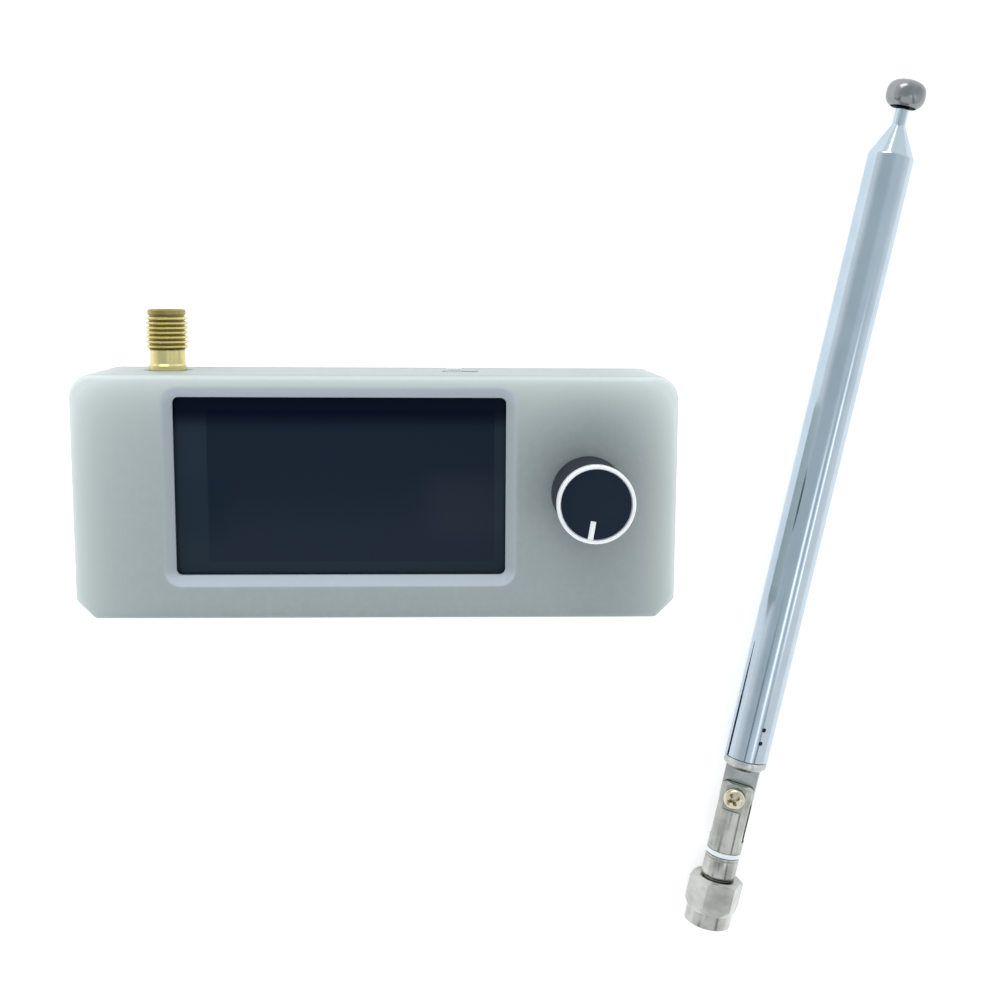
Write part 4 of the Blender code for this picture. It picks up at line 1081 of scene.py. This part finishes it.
def make_mast_base():
    """The tongue in the fork, the stub that plugs the outer tube, and a groove under its slit."""
    _, high, radius = reach("mast_base", ELBOW)
    tube_low = reach("mast_tube_1", ELBOW)[0]
    tongue_r, tongue_top, half_t, steps = 2.8 * MM, (tube_low - 0.5) * MM, 0.85 * MM, 24
    outline = [(tongue_r, tongue_top), (-tongue_r, tongue_top)]
    for i in range(steps + 1):
        angle = math.pi + math.pi * i / steps
        outline.append((tongue_r * math.cos(angle), HINGE_AT + tongue_r * math.sin(angle)))
    tongue = moved(prism(outline, -half_t, half_t), Matrix.Rotation(math.pi / 2, 4, "X"))
    round_edges(tongue, [e for e in tongue.edges if e.calc_face_angle(0) > 1.0], 0.1 * MM, 3)
    low, shoulder = tube_low - 1.9, tube_low - 0.15
    stub = [(0, low), (STUB_RADIUS - 0.5, low), (radius, low + 0.7), (radius, shoulder)]
    stub += [(STUB_RADIUS, shoulder), (STUB_RADIUS, high), (0, high)]
    base = combined(tongue, turned(eased(stub, 0.12)), "UNION")
    base = combined(base, across_hinge(1.0))
    groove = ((-0.4, -0.2), (0.4, -0.2), (0.4, 20), (-0.4, 20))
    base = combined(base, seam_cutter(groove, STUB_RADIUS, tube_low, 1.0))
    piece(
        "mast_tongue", base, NICKEL_MILLED, "mast", ("mast_base",), ELBOW,
        sharp=30,
    )


# ---------------- mast


def make_mast():
    """Five nested tubes, whose rolled mouths share one cone when the mast is closed."""
    wall, gap = 0.25, 0.008
    radii = [3.6, 3.1, 2.6, 2.1, 1.62]
    bodies = ["mast", "section_2", "section_3", "section_4", "section_5"]
    top_r = ROD_RADIUS + 0.35
    tube_end, cone_length = 128.6, 4.2

    def cone(r):
        """The height at which the slope that all the mouths share has a radius."""
        return tube_end + cone_length * (radii[0] - r) / (radii[0] - top_r)

    for i, radius in enumerate(radii):
        low = reach(f"mast_tube_{i + 1}", ELBOW)[0]
        bore = radius - wall
        neck = (radii + [ROD_RADIUS])[i + 1] + gap
        flare = 0.14 if i else 0.0
        profile = [(bore, low), (radius + flare, low)]
        if i:
            profile += [(radius + flare, low + 2.5), (radius, low + 3.0)]
        shoulder = [(radius, cone(radius) - 4), (radius, cone(radius)), (neck, cone(neck))]
        profile += eased(shoulder, 0.02 if i else 0.9, 6)
        profile += [(neck, cone(neck + wall) - 0.1), (bore, cone(radius) - 0.1)]
        tube = turned(profile, ROUND, ring=True)
        if i == 0:
            tube = finished_outer_tube(tube, radius, low)
        piece(
            f"mast_section_{i + 1}", tube, CHROME, bodies[i],
            (f"mast_tube_{i + 1}",), ELBOW, sharp=40,
        )


def finished_outer_tube(tube, radius, low):
    """Cuts the seam slit, which runs out of the lower end to a point, and the crimp marks."""
    length, half_width, half_tip = 19.5, 0.25, 0.06
    slit = [(-half_width, -2.0), (half_width, -2.0), (half_width, length * 0.55)]
    slit += [(half_tip, length), (-half_tip, length), (-half_width, length * 0.55)]
    tube = combined(tube, seam_cutter(slit, radius, low, 1.0))
    marks = []
    for mark in crimp_marks():
        ball = bmesh.new()
        bmesh.ops.create_icosphere(ball, subdivisions=4, radius=MARK_RADIUS * MM)
        spot = ELBOW.inverted() @ mark
        outward = Vector((spot.x, spot.y, 0)).normalized()
        marks.append(shifted(ball, spot + outward * 0.12 * MM))
    return combined(tube, together(marks))


def make_tip():
    """The rod with its collar inside the last tube, and the round button with a sunk underside."""
    low, high, radius = reach("mast_rod", ELBOW)
    rod = [(0, low), (radius, low), (radius, low + 2.5), (ROD_RADIUS, low + 3.0)]
    rod = eased(rod + [(ROD_RADIUS, high), (0, high)], 0.1)
    piece(
        "mast_thin_rod", turned(rod, FINE), CHROME, "tip",
        ("mast_rod",), ELBOW, sharp=40,
    )
    low, high, radius = reach("tip_button", ELBOW)
    bore, floor, hole = 1.9, low + 1.3, ROD_RADIUS + 0.25
    half, steps, squareness = (high - low) / 2, 12, 2.6
    lowest = math.acos((bore + 0.1) / radius)
    button = [(bore, floor)]
    for k in range(2 * steps):
        rise = (k / steps - 1) * (lowest if k < steps else math.pi / 2)
        across = math.cos(rise)
        height = half * (1 - across ** squareness) ** (1 / squareness)
        button.append((radius * across, low + half + math.copysign(height, rise)))
    button += [(0, high), (0, floor + 0.3), (hole, floor + 0.3), (hole, floor)]
    cap = turned(button, ROUND, ring=True)
    piece("tip_cap", cap, TIP_PLATING, "tip", ("tip_button",), ELBOW, sharp=40)


# ---------------- pieces kept from the CAD model


def finish_inner_pieces():
    looks = {
        DARK: ("display_backlight", "display_flex", "pin_header_lower", "pin_header_upper"),
        BOARD: ("display_board", "radio_board"),
        TIN: ("processor_can", "radio_can", "reference_crystal", "encoder_frame", "switch_frame"),
        STEEL: ("encoder_shaft", *(f"board_screw_{i}" for i in range(1, 5))),
        FOIL: ("battery_cell",),
        FOAM: ("battery_pad",),
        RED: ("battery_lead_red",),
        BLACK: ("battery_lead_black", "encoder_base", "encoder_plunger"),
        WHITE: ("battery_plug", "battery_socket"),
    }
    for finish, nodes in looks.items():
        for name in nodes:
            mesh = frame["nodes"][name].data
            mesh.materials.clear()
            mesh.materials.append(finish)


# ---------------- studio


def floor_finish():
    """White paper with a little light of its own, as on a light table."""
    paint = material_paint("floor_white")
    cloud = paint.noise(3.0, 2.0)
    return paint.done(
        Base_Color=paint.mix(cloud, (0.9, 0.9, 0.9), (0.92, 0.92, 0.92)),
        Roughness=0.9,
        Specular_IOR_Level=0.2,
        Emission_Color=(1.0, 1.0, 1.0, 1.0),
        Emission_Strength=0.45,
    )


def make_floor():
    bm = bmesh.new()
    bmesh.ops.create_grid(bm, x_segments=1, y_segments=1, size=1.5)
    floor = added("floor", mesh_of(bm, "floor"))
    floor.data.materials.append(floor_finish())


def make_light():
    """One large soft light from beyond the jack's side."""
    at = Vector((-0.2, 0.6, 0.35))
    light = bpy.data.lights.new("key", "AREA")
    light.shape = "RECTANGLE"
    light.size, light.size_y = 0.5, 0.3
    light.energy = 1.0
    obj = added("key", light)
    obj.location = at
    obj.rotation_euler = (-at).to_track_quat("-Z", "Y").to_euler()


def make_world():
    """A white room under a darker ceiling, with strips that draw lines along the mast."""
    world = bpy.data.worlds.new("studio")
    bpy.context.scene.world = world
    paint = Paint(world)
    x, y, z = paint.axes(paint.node("TexCoord", output="Generated"))
    west, south = -x, -y
    near = south.over(0.14, 0.3)
    plain = paint.mix(x.over(-0.1, 0.34), (0.6, 0.66, 0.685), (0.73, 0.8, 0.82))
    ceiling = paint.mix(near, plain, (0.96, 0.98, 1.0))
    tone = paint.mix(z.over(0.15, 0.75), (1.0, 1.0, 1.0), ceiling)
    window = y.over(0.25, 0.9) * (1 - z.over(0.3, 0.75))
    tone = paint.mix(window, tone, (1.05, 1.08, 1.08))
    over_mast = band(south, 0.08, 0.14, 0.28, 0.34)
    bright = band(x, 0.11, 0.14, 0.27, 0.3) + band(x, 0.54, 0.58, 0.66, 0.7)
    tone = paint.mix(bright * over_mast, tone, (1.9, 1.95, 2.0))
    dark = band(west, 0.3, 0.34, 0.4, 0.44) + band(x, 0.36, 0.4, 0.44, 0.48) * 0.5
    dark = dark * over_mast + band(west, 0.66, 0.7, 0.8, 0.84) * south.over(0.26, 0.34)
    dark = dark + band(x, 0.36, 0.4, 0.5, 0.54) * south.over(0.3, 0.36)
    tone = paint.mix(dark.least(1.0) * z.over(0.05, 0.2) * 0.85, tone, (0.12, 0.15, 0.18))
    back = paint.node("Background", values={"Color": tone, "Strength": 1.0})
    paint.node("OutputWorld", values={"Surface": back})


def make_camera():
    """Nearly straight down on the display, a little from the jack's side, at arm's length."""
    tilt, swing, distance = math.radians(8.6), math.radians(2.4), 213.8 * MM
    aim = Vector((18.35 * MM, -0.3 * MM, CASE_HIGH.z))
    ahead = math.cos(swing)
    look = Vector((math.sin(swing), -math.sin(tilt) * ahead, -math.cos(tilt) * ahead))
    up = Vector((0, math.cos(tilt), -math.sin(tilt)))
    camera = bpy.data.cameras.new("camera")
    camera.lens = 51.7
    camera.sensor_width = 36.0
    camera.clip_start = 0.01
    obj = added("camera", camera)
    obj.matrix_world = upright(aim - look * distance, -look, up)
    bpy.context.scene.camera = obj


def main():
    make_camera()
    make_front()
    make_back()
    make_cover_screws()
    make_display()
    make_knob()
    make_jack()
    make_switch()
    make_port()
    make_nut()
    make_plug()
    make_knuckle()
    make_hinge_screw()
    make_mast_base()
    make_mast()
    make_tip()
    finish_inner_pieces()
    make_floor()
    make_world()
    make_light()
    bpy.context.scene.view_settings.view_transform = "Standard"


main()
